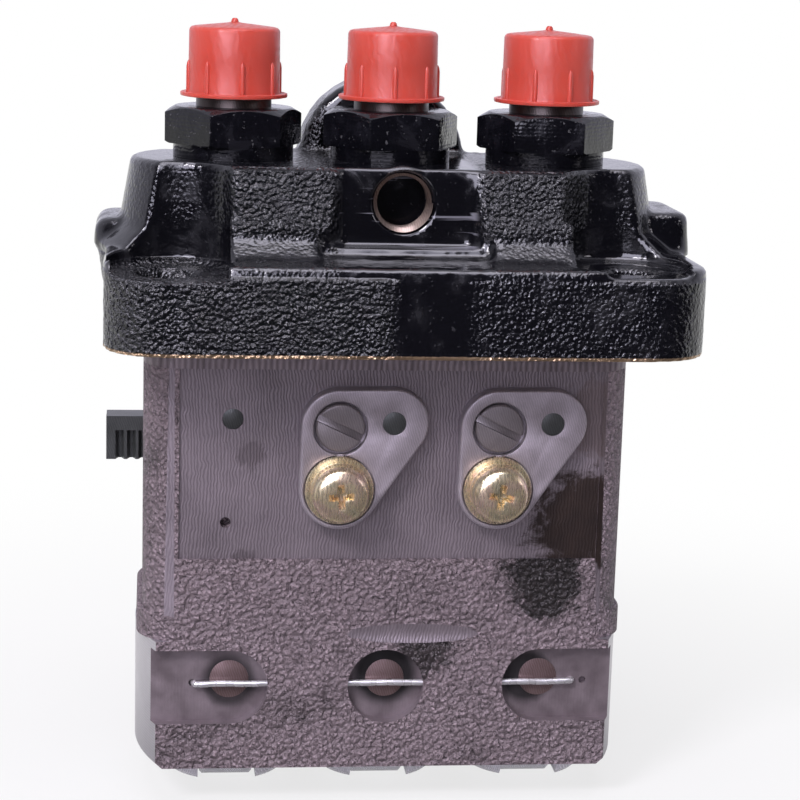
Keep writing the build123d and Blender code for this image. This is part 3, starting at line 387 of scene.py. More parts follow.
def glow(tree, kind, colour=WHITE, strength=1.0):
    """An Emission or Background shader."""
    return new_node(tree, kind, Color=colour, Strength=strength).outputs[0]


def build_cast_grain():
    """Lumpy cast surface: big soft lumps under sharp grains."""
    tree, given, result = group("cast grain", ("Lump Scale", "Grain Scale", "Grain"), ("Height", "Pits"))
    lumps = noise(tree, given["Vector"], given["Lump Scale"], 3.0, 0.55, 0.4)
    grains = new_node(tree, "TexVoronoi", Vector=given["Vector"], Scale=given["Grain Scale"])
    grains.feature = "SMOOTH_F1"
    grains.inputs["Smoothness"].default_value = 0.6
    peaks = maths(tree, "SUBTRACT", 1.0, grains.outputs["Distance"])
    peaks = maths(tree, "MULTIPLY_ADD", noise(tree, given["Vector"], 2600.0, 2.0, 0.6), 0.35, peaks)
    tree.links.new(maths(tree, "MULTIPLY_ADD", peaks, given["Grain"], lumps), result["Height"])
    tree.links.new(ramp(tree, peaks, 0.55, 1.05, 1.0, 0.0), result["Pits"])
    return tree


def build_tool_marks():
    """Fine parallel tool marks, as left by a cutter."""
    tree, given, result = group("tool marks", ("Scale", "Wander"), ("Height", "Tone"))
    wave = new_node(
        tree, "TexWave", Vector=given["Vector"], Scale=given["Scale"], Distortion=given["Wander"],
        Detail=2.0, Detail_Scale=1.5)
    wave.wave_type = "BANDS"
    wave.bands_direction = "X"
    height = wave.outputs["Fac"]
    tree.links.new(height, result["Height"])
    broad = times(tree, noise(tree, given["Vector"], 260.0, 3.0, 0.6), 0.65)
    tree.links.new(maths(tree, "MULTIPLY_ADD", height, 0.35, broad), result["Tone"])
    return tree


def build_grime():
    """Patches and specks of oil and dust."""
    tree, given, result = group("grime", ("Patch Scale", "Amount"), ("Mask", "Specks"))
    patches = noise(tree, given["Vector"], given["Patch Scale"], 5.0, 0.62, 0.6)
    shifted = maths(tree, "ADD", patches, times(tree, given["Amount"], 0.3))
    tree.links.new(ramp(tree, shifted, 0.58, 0.78), result["Mask"])
    specks = noise(tree, given["Vector"], 1500.0, 2.0, 0.5)
    tree.links.new(ramp(tree, specks, 0.66, 0.74), result["Specks"])
    return tree


GROUPS = {}


def groups():
    """The shared shader groups, built once."""
    if not GROUPS:
        GROUPS["grain"] = build_cast_grain()
        GROUPS["marks"] = build_tool_marks()
        GROUPS["grime"] = build_grime()
    return GROUPS


class Finish:
    """One material in the making: its tree, its shader and its object coordinates."""

    def __init__(self, name, metallic=0.0, roughness=0.5):
        self.material = bpy.data.materials.new(name)
        self.material.use_nodes = True
        self.tree = self.material.node_tree
        self.shader = self.tree.nodes["Principled BSDF"]
        self.place = new_node(self.tree, "TexCoord").outputs["Object"]
        self.set(Metallic=metallic, Roughness=roughness)

    def set(self, **values):
        """Sets constants on the shader's own sockets."""
        for label, value in values.items():
            self.shader.inputs[label.replace("_", " ")].default_value = value

    def turned(self, rotation=(0, 0, 0), location=(0, 0, 0), scale=(1, 1, 1)):
        """Object coordinates moved, turned and stretched."""
        node = new_node(
            self.tree, "Mapping", Vector=self.place, Location=location, Rotation=rotation, Scale=scale)
        return node.outputs["Vector"]

    def away_from(self, place):
        """Distance from a place in the X-Z plane, given in millimetres."""
        moved = self.turned(location=(-place[0] * MM, 0, -place[1] * MM), scale=(1, 0, 1))
        return length_node(self.tree, moved)

    def use(self, name, vector=None, **values):
        """Places a shared group with these values; returns its outputs."""
        node = new_node(self.tree, "Group")
        node.node_tree = groups()[name]
        self.tree.links.new(vector or self.place, node.inputs["Vector"])
        for label, value in values.items():
            node.inputs[label.replace("_", " ")].default_value = value
        return node.outputs

    def colour(self, socket):
        """Feeds the base colour."""
        self.tree.links.new(socket, self.shader.inputs["Base Color"])

    def rough(self, value, low, high, smoothest, roughest):
        """Feeds the roughness from a value that runs from low to high."""
        socket = ramp(self.tree, value, low, high, smoothest, roughest)
        self.tree.links.new(socket, self.shader.inputs["Roughness"])

    def bump(self, height, distance, under=None):
        """Feeds the normal from a height of so many millimetres, over another bump if given."""
        node = new_node(self.tree, "Bump", Height=height, Distance=distance * MM)
        if under is not None:
            self.tree.links.new(under, node.inputs["Normal"])
        self.tree.links.new(node.outputs["Normal"], self.shader.inputs["Normal"])
        return node.outputs["Normal"]


# Materials


def paint_material(look):
    """Thick gloss black over a coarse casting, with a bare machined edge below."""
    made = Finish("black_paint_casting")
    tree = made.tree
    x, _, z = apart(tree, made.place)
    coarse = made.use("grain", Lump_Scale=1150.0, Grain_Scale=1600.0, Grain=0.9)
    fine = made.use("grain", Lump_Scale=2300.0, Grain_Scale=3600.0, Grain=0.5)
    # The flange's edge: grained at both ends, in streaks, and smooth in the middle.
    streaks = noise(tree, made.turned(scale=(1, 1, 0.3)), 95.0, 3.0, 0.55)
    left = ramp(tree, x, -0.0050, 0.0010, 1.0, 0.0)
    right = ramp(tree, x, 0.0070, 0.0130, 0.0, 0.34)
    flange = times(tree, most(tree, left, right, 0.08), ramp(tree, streaks, 0.30, 0.52, 0.45, 1.0))
    # The head: grained on the two front blocks, from their foot up, and less on the deck.
    across = maths(tree, "ABSOLUTE", maths(tree, "SUBTRACT", x, 0.0015))
    outer = ramp(tree, across, 0.0250, 0.0290, 1.0, 0.12)
    blocks = times(tree, ramp(tree, across, 0.0100, 0.0125), outer)
    deck = ramp(tree, z, 0.0262, 0.0268, 1.0, 0.35)
    head = times(tree, blocks, deck, ramp(tree, z, 0.0158, 0.0184, 0.16, 1.0))
    rise = ramp(tree, z, 0.0116, 0.0124)
    low = times(tree, flange, maths(tree, "SUBTRACT", 1.0, rise))
    weight = maths(tree, "MULTIPLY_ADD", head, rise, low)
    bump = made.bump(times(tree, coarse["Height"], weight), 0.66)
    made.bump(times(tree, fine["Height"], weight), 0.12, bump)
    # Dust and grime on the paint, and scratches on the smooth face round the port, drawn pale blue as
    # painted highlight.
    grime = made.use("grime", Patch_Scale=150.0, Amount=0.3)
    paint = mix(tree, grime["Mask"], look.paint_colour, (0.009, 0.009, 0.012))
    paint = mix(tree, times(tree, grime["Specks"], 0.12), paint, (0.2, 0.2, 0.22))
    face = times(
        tree, ramp(tree, across, 0.0100, 0.0110, 1.0, 0.0), ramp(tree, z, 0.0145, 0.0155),
        ramp(tree, z, 0.0245, 0.0255, 1.0, 0.0))
    scratch = noise(tree, made.turned(scale=(0.05, 0.2, 1), rotation=(0, 0.05, 0)), 760.0, 2.0, 0.5)
    scratches_with_painted_highlight = times(tree, face, ramp(tree, scratch, 0.60, 0.63, 0.0, 0.55))
    # The scratches take the lamps' pale blue: real scratches with a painted highlight.
    paint = mix(tree, scratches_with_painted_highlight, paint, (0.34, 0.34, 0.40))
    # The bare edge over the machined underside.
    edge = noise(tree, made.place, 900.0, 3.0, 0.6)
    line = maths(tree, "MULTIPLY_ADD", edge, 0.0003, z)
    bare = ramp(tree, line, 0.00062, 0.00080, 1.0, 0.0)
    made.colour(mix(tree, bare, paint, (0.42, 0.29, 0.18)))
    made.rough(maths(tree, "ADD", grime["Mask"], bare), 0.0, 1.0, 0.11, 0.30)
    tree.links.new(times(tree, bare, 0.8), made.shader.inputs["Metallic"])
    return made.material


def hex_paint_material(look):
    """Gloss black over turned steel, with a few runs and scuffs."""
    made = Finish("black_paint_steel")
    made.set(Specular_IOR_Level=0.3)
    tree = made.tree
    grain = made.use("grain", Lump_Scale=330.0, Grain_Scale=1400.0, Grain=0.25)
    marks = made.use("marks", made.turned(rotation=QUARTER_ABOUT_Y), Scale=520.0, Wander=3.0)
    made.bump(marks["Height"], 0.012, made.bump(grain["Height"], 0.10))
    grime = made.use("grime", Patch_Scale=220.0, Amount=0.35)
    paint = mix(tree, grime["Mask"], look.paint_colour, (0.010, 0.010, 0.014))
    made.colour(mix(tree, times(tree, grime["Specks"], 0.25), paint, (0.3, 0.3, 0.32)))
    made.rough(grime["Mask"], 0.0, 1.0, 0.10, 0.26)
    return made.material


def near(made, place, radius):
    """1 within a ragged patch of the front about a place in the X-Z plane, in millimetres."""
    tree = made.tree
    ragged = noise(tree, made.place, 260.0, 8.0, 0.78, 0.8)
    reach = maths(tree, "MULTIPLY_ADD", ragged, -radius * 2.2 * MM, made.away_from(place))
    patch = ramp(tree, reach, -0.40 * radius * MM, 0.0, 1.0, 0.0)
    return times(tree, patch, ramp(tree, apart(tree, made.place)[1], -0.012, -0.009, 1.0, 0.0))


def painted_shade_disc(made, place, radius):
    """1 at a place in the X-Z plane, fading softly to 0 at a radius, both in millimetres; it marks
    painted shade.
    """
    return ramp(made.tree, made.away_from(place), radius * 0.62 * MM, radius * MM, 1.0, 0.0)


def cast_material(look):
    """Bare shot-blasted iron: rough, brownish grey, with oily patches."""
    made = Finish("bare_cast_iron", 0.2)
    tree = made.tree
    coarse = made.use("grain", Lump_Scale=700.0, Grain_Scale=1350.0, Grain=0.9)
    fine = made.use("grain", Lump_Scale=2000.0, Grain_Scale=3600.0, Grain=0.5)
    made.bump(fine["Height"], 0.22, made.bump(coarse["Height"], 1.6))
    tone = noise(tree, made.place, 120.0, 4.0, 0.6)
    iron = mix(tree, tone, look.iron_colour, (0.38, 0.30, 0.33))
    # The hollows of the coarse grain are darkened: painted shade.
    iron = mix(tree, times(tree, coarse["Pits"], 0.45), iron, (0.07, 0.054, 0.06))
    grime = made.use("grime", Patch_Scale=55.0, Amount=0.25)
    oily = most(
        tree, times(tree, grime["Mask"], 0.55), times(tree, near(made, (25, -38), 7.5), 0.92),
        times(tree, near(made, (6, -50), 4.5), 0.8))
    made.colour(mix(tree, oily, iron, OIL))
    made.rough(oily, 0.0, 1.0, 0.58, 0.30)
    return made.material


def milled_material():
    """Machined iron with fine cutter arcs, stained towards one end."""
    made = Finish("milled_iron", 0.35)
    tree = made.tree
    arcs = made.turned(location=(0.16, 0.0, 0.02))
    ring = new_node(tree, "TexWave", Vector=arcs, Scale=620.0, Distortion=6.0, Detail=2.0)
    ring.wave_type = "RINGS"
    ring.rings_direction = "Y"
    made.bump(ring.outputs["Fac"], 0.03)
    tone = noise(tree, made.place, 90.0, 5.0, 0.65)
    iron = mix(tree, tone, (0.04, 0.031, 0.036), (0.27, 0.226, 0.254))
    iron = mix(tree, times(tree, ring.outputs["Fac"], 0.4), iron, (0.30, 0.255, 0.28))
    for hole in ((-22.0, -18.2), (-22.9, -35.4)):
        iron = mix(tree, times(tree, near(made, hole, 2.4), 0.45), iron, (0.05, 0.038, 0.040))
    rusting = noise(tree, made.place, 300.0, 4.0, 0.6)
    rust = mix(tree, rusting, (0.010, 0.008, 0.008), (0.055, 0.034, 0.026))
    stain = near(made, (31, -29), 9.0)
    iron = mix(tree, times(tree, near(made, (33, -12), 7.0), 0.45), iron, (0.09, 0.055, 0.042))
    made.colour(mix(tree, times(tree, stain, 0.93), iron, rust))
    made.rough(stain, 0.0, 1.0, 0.46, 0.28)
    return made.material


def pocket_material():
    """Darker, smoother milled iron of the pockets and bores, with painted shade round the guide pins."""
    made = Finish("pocket_iron", 0.3)
    tree = made.tree
    tone = noise(tree, made.place, 210.0, 5.0, 0.6)
    iron = mix(tree, tone, (0.06, 0.047, 0.053), (0.31, 0.255, 0.28))
    # Painted shade: near-black discs round the guide pins, where the pockets fall dark.
    for place, reach, depth in (
            ((ROW[0], -55.6), 5.2, 0.8), ((ROW[1], -54.4), 6.2, 0.97), ((ROW[2] - 2, -55.0), 5.4, 0.93)):
        iron = mix(tree, times(tree, painted_shade_disc(made, place, reach), depth), iron, (0.012, 0.010, 0.011))
    made.colour(iron)
    made.bump(made.use("marks", Scale=600.0, Wander=3.0)["Height"], 0.01)
    made.rough(tone, 0.3, 0.7, 0.32, 0.5)
    return made.material


def band_material():
    """Upright tool marks under the flange."""
    made = Finish("planed_iron", 0.35)
    marks = made.use("marks", Scale=330.0, Wander=1.5)
    made.bump(marks["Height"], 0.06)
    made.colour(mix(made.tree, marks["Tone"], (0.07, 0.056, 0.063), (0.29, 0.24, 0.26)))
    made.rough(marks["Tone"], 0.3, 0.7, 0.38, 0.52)
    return made.material


def turned_material():
    """Smooth turned iron with level tool marks."""
    made = Finish("turned_iron", 0.75, 0.34)
    marks = made.use("marks", made.turned(rotation=QUARTER_ABOUT_Y), Scale=700.0, Wander=0.6)
    made.bump(marks["Height"], 0.008)
    made.colour(mix(made.tree, marks["Tone"], (0.35, 0.33, 0.36), (0.53, 0.505, 0.545)))
    return made.material


def steel_material(name, dark, light, roughness, metallic=0.95, marks_scale=900.0, depth=0.006):
    """Machined or ground metal between two tones."""
    made = Finish(name, metallic)
    tree = made.tree
    marks = made.use("marks", made.turned(rotation=(0.3, 0.2, 0.4)), Scale=marks_scale, Wander=4.0)
    grime = made.use("grime", Patch_Scale=180.0, Amount=0.25)
    made.bump(marks["Height"], depth)
    steel = mix(tree, marks["Tone"], dark, light)
    made.colour(mix(tree, times(tree, grime["Mask"], 0.35), steel, dark))
    made.rough(marks["Tone"], 0.2, 0.8, roughness * 0.85, roughness * 1.2)
    return made.material


def zinc_material():
    """Yellow passivated zinc, its tint wandering from straw to rose."""
    made = Finish("yellow_zinc", 0.78)
    hue = noise(made.tree, made.place, 260.0, 2.0, 0.5, 0.8)
    tints = new_node(made.tree, "ValToRGB", Fac=hue)
    stops = tints.color_ramp.elements
    stops[0].position, stops[0].color = 0.3, (0.62, 0.57, 0.40, 1)
    stops[1].position, stops[1].color = 0.7, (0.76, 0.56, 0.47, 1)
    stops.new(0.5).color = (0.76, 0.63, 0.42, 1)
    made.colour(tints.outputs["Color"])
    marks = made.use("marks", Scale=500.0, Wander=7.0)
    made.bump(marks["Height"], 0.0025)
    made.rough(marks["Tone"], 0.2, 0.8, 0.2, 0.32)
    return made.material


def plastic_material(look):
    """Soft translucent polyethylene."""
    made = Finish("orange_polyethylene")
    made.set(
        Subsurface_Weight=0.35, Subsurface_Radius=(1.0, 0.35, 0.2), Subsurface_Scale=1.6 * MM,
        Sheen_Weight=0.1, Specular_IOR_Level=0.35)
    cloud = noise(made.tree, made.place, 130.0, 3.0, 0.5)
    made.colour(mix(made.tree, cloud, look.cap_colour, (0.57, 0.082, 0.058)))
    scuffs = made.use("marks", made.turned(rotation=(0.2, 0.1, 0.5)), Scale=260.0, Wander=9.0)
    made.bump(scuffs["Height"], 0.012)
    made.rough(scuffs["Tone"], 0.2, 0.8, 0.3, 0.46)
    return made.material


def rubber_material():
    """Moulded black rubber."""
    made = Finish("seal_rubber", 0.0, 0.6)
    grain = made.use("grain", Lump_Scale=1500.0, Grain_Scale=4000.0, Grain=0.3)
    made.bump(grain["Height"], 0.01)
    made.colour(mix(made.tree, grain["Pits"], (0.018, 0.018, 0.018), (0.03, 0.03, 0.03)))
    return made.material


# Short name: name, dark and light tone, roughness, then metallic, fineness and depth of its marks.
STEELS = {
    "plate": ("satin_plate", (0.19, 0.167, 0.185), (0.42, 0.373, 0.412), 0.42, 0.4),
    "screw": ("phosphated_steel", (0.12, 0.105, 0.112), (0.27, 0.24, 0.25), 0.36, 0.4),
    "dark": ("oiled_steel", (0.035, 0.038, 0.038), (0.095, 0.10, 0.098), 0.36, 0.4),
    "brown": ("tinted_steel", (0.12, 0.072, 0.07), (0.28, 0.20, 0.20), 0.36, 0.6),
    "ground": ("ground_steel", (0.60, 0.58, 0.64), (0.84, 0.82, 0.88), 0.24, 0.35),
    "wire": ("drawn_wire", (0.56, 0.55, 0.56), (0.66, 0.65, 0.67), 0.28, 0.6, 120.0, 0.001),
    "copper": ("soft_copper", (0.55, 0.26, 0.15), (0.80, 0.46, 0.32), 0.32),
    # The bare necks under the caps' lips are drawn nearly black: painted shade.
    "neck": ("neck_in_painted_shade", (0.018, 0.013, 0.012), (0.07, 0.048, 0.042), 0.34, 0.5),
    "thread": ("cut_thread", (0.12, 0.09, 0.075), (0.34, 0.27, 0.23), 0.32),
}


def build_materials(look):
    """Every finish by name."""
    made = {
        "paint": paint_material(look), "hex_paint": hex_paint_material(look),
        "cast": cast_material(look), "milled": milled_material(), "pocket": pocket_material(),
        "band": band_material(), "turned": turned_material(), "zinc": zinc_material(),
        "plastic": plastic_material(look), "rubber": rubber_material()}
    made.update((short, steel_material(*row)) for short, row in STEELS.items())
    return made


FINISH = {}


def finish(name):
    """A finish by name, built on first use."""
    if not FINISH:
        FINISH.update(build_materials(bpy.context.scene.pump_look))
    return FINISH[name]


SLOT_FINISH = {  # what a node wears that no piece replaces, by its material slot
    "cast_housing": "cast", "black_paint": "hex_paint", "orange_plastic": "plastic",
    "seal_rubber": "rubber", "copper": "copper", "spring_wire": "wire", "yellow_zinc": "zinc",
    "plate_steel": "plate", "dark_steel": "dark", "brown_steel": "brown", "ground_steel": "ground",
}

# Settings


class PumpLook(bpy.types.PropertyGroup):
    """Colours and sizes that a user would change."""

    paint_colour: bpy.props.FloatVectorProperty(
        name="Paint", description="Colour of the gloss paint on flange and head",
        subtype="COLOR", size=3, min=0, max=1, default=(0.004, 0.004, 0.006))
    iron_colour: bpy.props.FloatVectorProperty(
        name="Bare iron", description="Main colour of the unpainted casting",
        subtype="COLOR", size=3, min=0, max=1, default=(0.28, 0.22, 0.24))
    cap_colour: bpy.props.FloatVectorProperty(
        name="Caps", description="Colour of the plastic caps",
        subtype="COLOR", size=3, min=0, max=1, default=(0.52, 0.046, 0.026))
    voxel: bpy.props.FloatProperty(
        name="Casting voxel", description="Fineness of the painted casting's surface",
        subtype="DISTANCE", default=0.5 * MM, min=0.3 * MM, max=2 * MM)
    lump: bpy.props.FloatProperty(
        name="Casting lumps", description="Height of the lumps under the paint",
        subtype="DISTANCE", default=0.35 * MM, min=0, max=1 * MM)


class PumpStage(bpy.types.PropertyGroup):
    """Camera and light."""

    lens: bpy.props.FloatProperty(
        name="Lens", description="Focal length on a 36 mm sensor", default=99.2, min=20, max=300)
    key: bpy.props.FloatProperty(
        name="Key light", description="Power of the main softbox in watts", default=5.4, min=0)


# Pieces


def casting_roughness(place):
    """How lumpy the painted casting is at a point in millimetres, 0 to 1."""
    x, y, z = place
    if z < SEAM_Z:
        return max(0.0, z / SEAM_Z)
    if z > DECK_Z - 0.6 and y < DECK_BACK_Y:
        return 0.25
    if y < -15.0 and abs(x - 1.0) < 12.0 and z > 14.5:  # the face round the bleed port
        return 0.05
    in_spotface = any(math.hypot(x - bolt_x, y - bolt_y) < SPOTFACE_R for bolt_x, bolt_y in BOLT_PLACES)
    if in_spotface and 10.8 < z < 13.6:
        return 0.08
    if z < FLANGE_TOP_Z:  # the flange's edge, smoother towards the right
        return 1.0 - 0.45 * min(1.0, max(0.0, (x + 6.0) / 12.0))
    return 0.12 if abs(x - 0.9) > 26.0 else 0.75


def port_cutter(port, sides):
    """A port with its chamfered mouth, as a tool that cuts inwards from its face."""
    bore, mouth = port["r"], port["r"] + port["chamfer"]
    rings = [(bore, -abs(port["face"] - port["end"])), (bore, -port["chamfer"]), (mouth, 0), (mouth, 6)]
    return turn_to(lathe(rings, sides), (0, port["side"], 0), (port["x"], port["face"], port["z"]))


def port_plug(port, spare, length):
    """A fill for a port, wider than its bore by spare."""
    wide = port["r"] + spare
    plug = lathe([(wide, 0), (wide, length)])
    return turn_to(plug, (0, -port["side"], 0), (port["x"], port["face"], port["z"]))


def upright(radius, low, high, x, y, sides=48):
    """Upright round bar."""
    return turn_to(lathe([(radius, low), (radius, high)], sides), (0, 0, 1), (x, y, 0))


class PUMP_OT_casting(bpy.types.Operator):
    """Painted flange and head, and the bare body below them"""

    bl_idname = "pump.casting"
    bl_label = "Casting"

    def execute(self, context):
        self.painted(context.scene.pump_look)
        self.bare()
        return {"FINISHED"}

    def painted(self, look):
        """Flange and head as one lumpy, paint-softened surface, cut crisp where machined."""
        lump = node_copy("pump_housing", "painted_casting")
        combine(lump, bar(-FAR, FAR, -SIDE, SIDE, -2, FAR), "INTERSECT")
        plugs = [upright(BORE_R + 0.8, -1.5, DECK_Z - 0.1, x, 0) for x in ROW]
        plugs += [port_plug(BLEED, 1.2, 7), port_plug(INLET, 1.5, 12)]
        lump = join([lump, *plugs, *self.flares()])
        modify(lump, "REMESH", mode="VOXEL", voxel_size=look.voxel)
        modify(lump, "SMOOTH", factor=0.5, iterations=7)
        rough = lump.vertex_groups.new(name="rough")
        for vertex in lump.data.vertices:
            rough.add([vertex.index], casting_roughness(vertex.co / MM), "REPLACE")
        for name, size, depth, share in (("swells", 4.2, 1, 0.4), ("lumps", 0.95, 0, 0.42)):
            texture = bpy.data.textures.new("casting " + name, "CLOUDS")
            texture.noise_scale = size * MM
            texture.noise_depth = depth
            modify(
                lump, "DISPLACE", texture=texture, texture_coords="LOCAL", mid_level=0.95,
                strength=look.lump * share, vertex_group="rough")
        cuts = [bar(-FAR, FAR, -SIDE, SIDE, -20, 0), port_cutter(BLEED, 48), port_cutter(INLET, 56)]
        cuts += [upright(BORE_R, -HOLE_SPARE, 50, x, 0, 72) for x in ROW]
        cuts += [upright(BOLT_R, -HOLE_SPARE, 30, x, y) for x, y in BOLT_PLACES]
        for cut in cuts:
            combine(lump, cut, "DIFFERENCE")
        smooth(lump, 55)
        settle(lump, "painted_casting", "housing", "cast_housing", ["paint"], "pump_housing")

    def flares(self):
        """Wedges along the foot of the two front blocks, where they sweep out onto the flange."""
        wedges = []
        for x0, x1 in ((-26, -12.5), (14.5, 27)):
            for foot, brow, top in ((-19.6, -17.7, 19.0), (-22.6, -18.8, 16.0)):
                wedge = bar(x0, x1, foot, -16.0, FLANGE_TOP_Z, top)
                for vertex in wedge.data.vertices:
                    if vertex.co.z > 15 * MM and vertex.co.y < -17 * MM:
                        vertex.co.y = brow * MM
                wedges.append(wedge)
        return wedges

    def bare(self):
        """Body below the flange, each machined face with its own finish."""
        body = node_copy("pump_housing", "bare_body")
        combine(body, bar(-FAR, FAR, -SIDE, SIDE, -FAR, 0), "INTERSECT")
        edit_all(body, lambda: bpy.ops.mesh.bisect(plane_co=(0, 0, PANEL_TOP * MM), plane_no=(0, 0, 1)))
        smooth(body, 28)
        names = ["cast", "milled", "band", "turned", "pocket"]
        settle(body, "bare_body", "housing", "cast_housing", names)
        for face in body.data.polygons:
            face.material_index = names.index(self.face_finish(face.center / MM, face.normal))

    def face_finish(self, place, normal):
        """The finish of a face of the bare body, by its place and direction."""
        x, y, z = place
        bore = min(math.hypot(x - element, y) for element in ROW)
        if bore < BORE_WALL_R and z > UNDERSIDE_Z and y > -13.0:
            return "pocket"
        if z < UNDERSIDE_Z:
            return "milled"
        on_round = math.hypot(x - TURNED_X, y) > TURNED_R - 1.5 and z < TURNED_TOP_Z + 0.1
        if on_round and abs(normal.y) < 0.95:
            return "turned"
        if z < TURNED_TOP_Z and FRONT_Y + 0.2 < y < -9.0:
            return "pocket"
        if z > PANEL_TOP:
            return "band"
        if abs(y - PANEL_Y) < 0.3 and z > PANEL_LOW and normal.y < -0.9:
            return "milled"
        # The flat arc that the cutter left over the middle pocket.
        if abs(x - 4.1) < 11 and abs(z + 47.2) < 1.6 and FRONT_Y + 0.02 < y < FRONT_Y + 0.4:
            return "milled"
        return "cast"


class PUMP_OT_threads(bpy.types.Operator):
    """Threads of the bleed port and the fuel inlet"""

    bl_idname = "pump.threads"
    bl_label = "Port threads"

    def execute(self, context):
        self.thread("bleed_port_thread", BLEED)
        self.thread("fuel_inlet_thread", INLET)
        return {"FINISHED"}

    def thread(self, name, port):
        """A coiled ridge inside a port, its crest towards the axis."""
        pitch = port["pitch"]
        turns = int((abs(port["face"] - port["end"]) - THREAD_RUNOUT) / pitch)
        steps = THREAD_STEPS * turns
        root, half = port["r"] + 0.08, pitch * 0.46
        deselect_all()
        bpy.ops.mesh.primitive_circle_add(vertices=3, radius=1, fill_type="NGON")
        ridge = bpy.context.object
        corners = ((root, -half), (root, half), (port["r"] - port["depth"], 0))
        for vertex, (radius, height) in zip(ridge.data.vertices, corners):
            vertex.co = (radius * MM, 0, height * MM)
        modify(
            ridge, "SCREW", angle=2 * math.pi * turns, screw_offset=pitch * turns * MM,
            steps=steps, render_steps=steps, use_merge_vertices=True)
        edit_all(ridge, face_outwards)
        start = port["end"] + port["side"] * pitch * 0.6
        turn_to(ridge, (0, port["side"], 0), (port["x"], start, port["z"]))
        smooth(ridge, 40)
        settle(ridge, name, "housing", "dark_steel", ["thread"])


class PUMP_OT_holders(bpy.types.Operator):
    """Painted outlet holders with softened edges"""

    bl_idname = "pump.holders"
    bl_label = "Outlet holders"

    def execute(self, context):
        for number in (1, 2, 3):
            node = f"delivery_valve_holder_{number}"
            piece = smooth(soften(node_copy(node, "painted_holder"), 0.32, 3, 24), 40)
            coats = ["hex_paint", "neck"]
            settle(piece, f"painted_holder_{number}", "housing", "black_paint", coats, node)
            # The bare neck above NECK_Z takes the dark neck finish, painted shade under the cap's lip.
            for face in piece.data.polygons:
                face.material_index = int(face.center.z > NECK_Z * MM)
        return {"FINISHED"}


class PUMP_OT_caps(bpy.types.Operator):
    """Moulded caps with a turned-up lip, ribs, a dome and the sprue's nub"""

    bl_idname = "pump.caps"
    bl_label = "Caps"

    def execute(self, context):
        for number, turn in ((1, 8), (2, -2), (3, 20)):
            self.cap(number, turn)
        return {"FINISHED"}

    def cap(self, number, turn):
        """One cap, its ribs turned by so many degrees."""
        node = f"protective_cap_{number}"
        box_low, box_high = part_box(node)
        low, high = box_low.z / MM, box_high.z / MM
        outside = [
            (8.0, low), (8.38, low + 0.08), (8.45, low + 0.3), (8.42, low + 0.62), (8.2, low + 0.7),
            (7.75, low + 0.5), (7.34, low + 0.62), (7.24, low + 1.0), (7.18, low + 5.6),
            (7.12, high - 1.95), (7.0, high - 1.65), (6.75, high - 1.42), (6.3, high - 1.3),
            (3.5, high - 0.98), (1.2, high - 0.74), (0.62, high - 0.62), (0.5, high - 0.2), (0.3, high)]
        cap = lathe(outside, 96)
        for step in range(CAP_RIBS):
            rib = lathe([(radius, low + height) for radius, height in RIB_PROFILE], 12)
            angle = math.radians(step * 360 / CAP_RIBS + turn)
            turn_to(rib, (0, 0, 1), (CAP_R * math.cos(angle), CAP_R * math.sin(angle), 0))
            combine(cap, rib, "UNION")
        hollow = [(CAP_BORE_R, low - 1), (CAP_BORE_R, high - 3.0), (5.6, high - 2.45)]
        combine(cap, lathe(hollow), "DIFFERENCE")
        turn_to(cap, (0, 0, 1), ((box_low.x + box_high.x) / 2 / MM, 0, 0))
        smooth(cap, 38)
        settle(cap, f"moulded_cap_{number}", f"cap_{number}", "orange_plastic", ["plastic"], node)


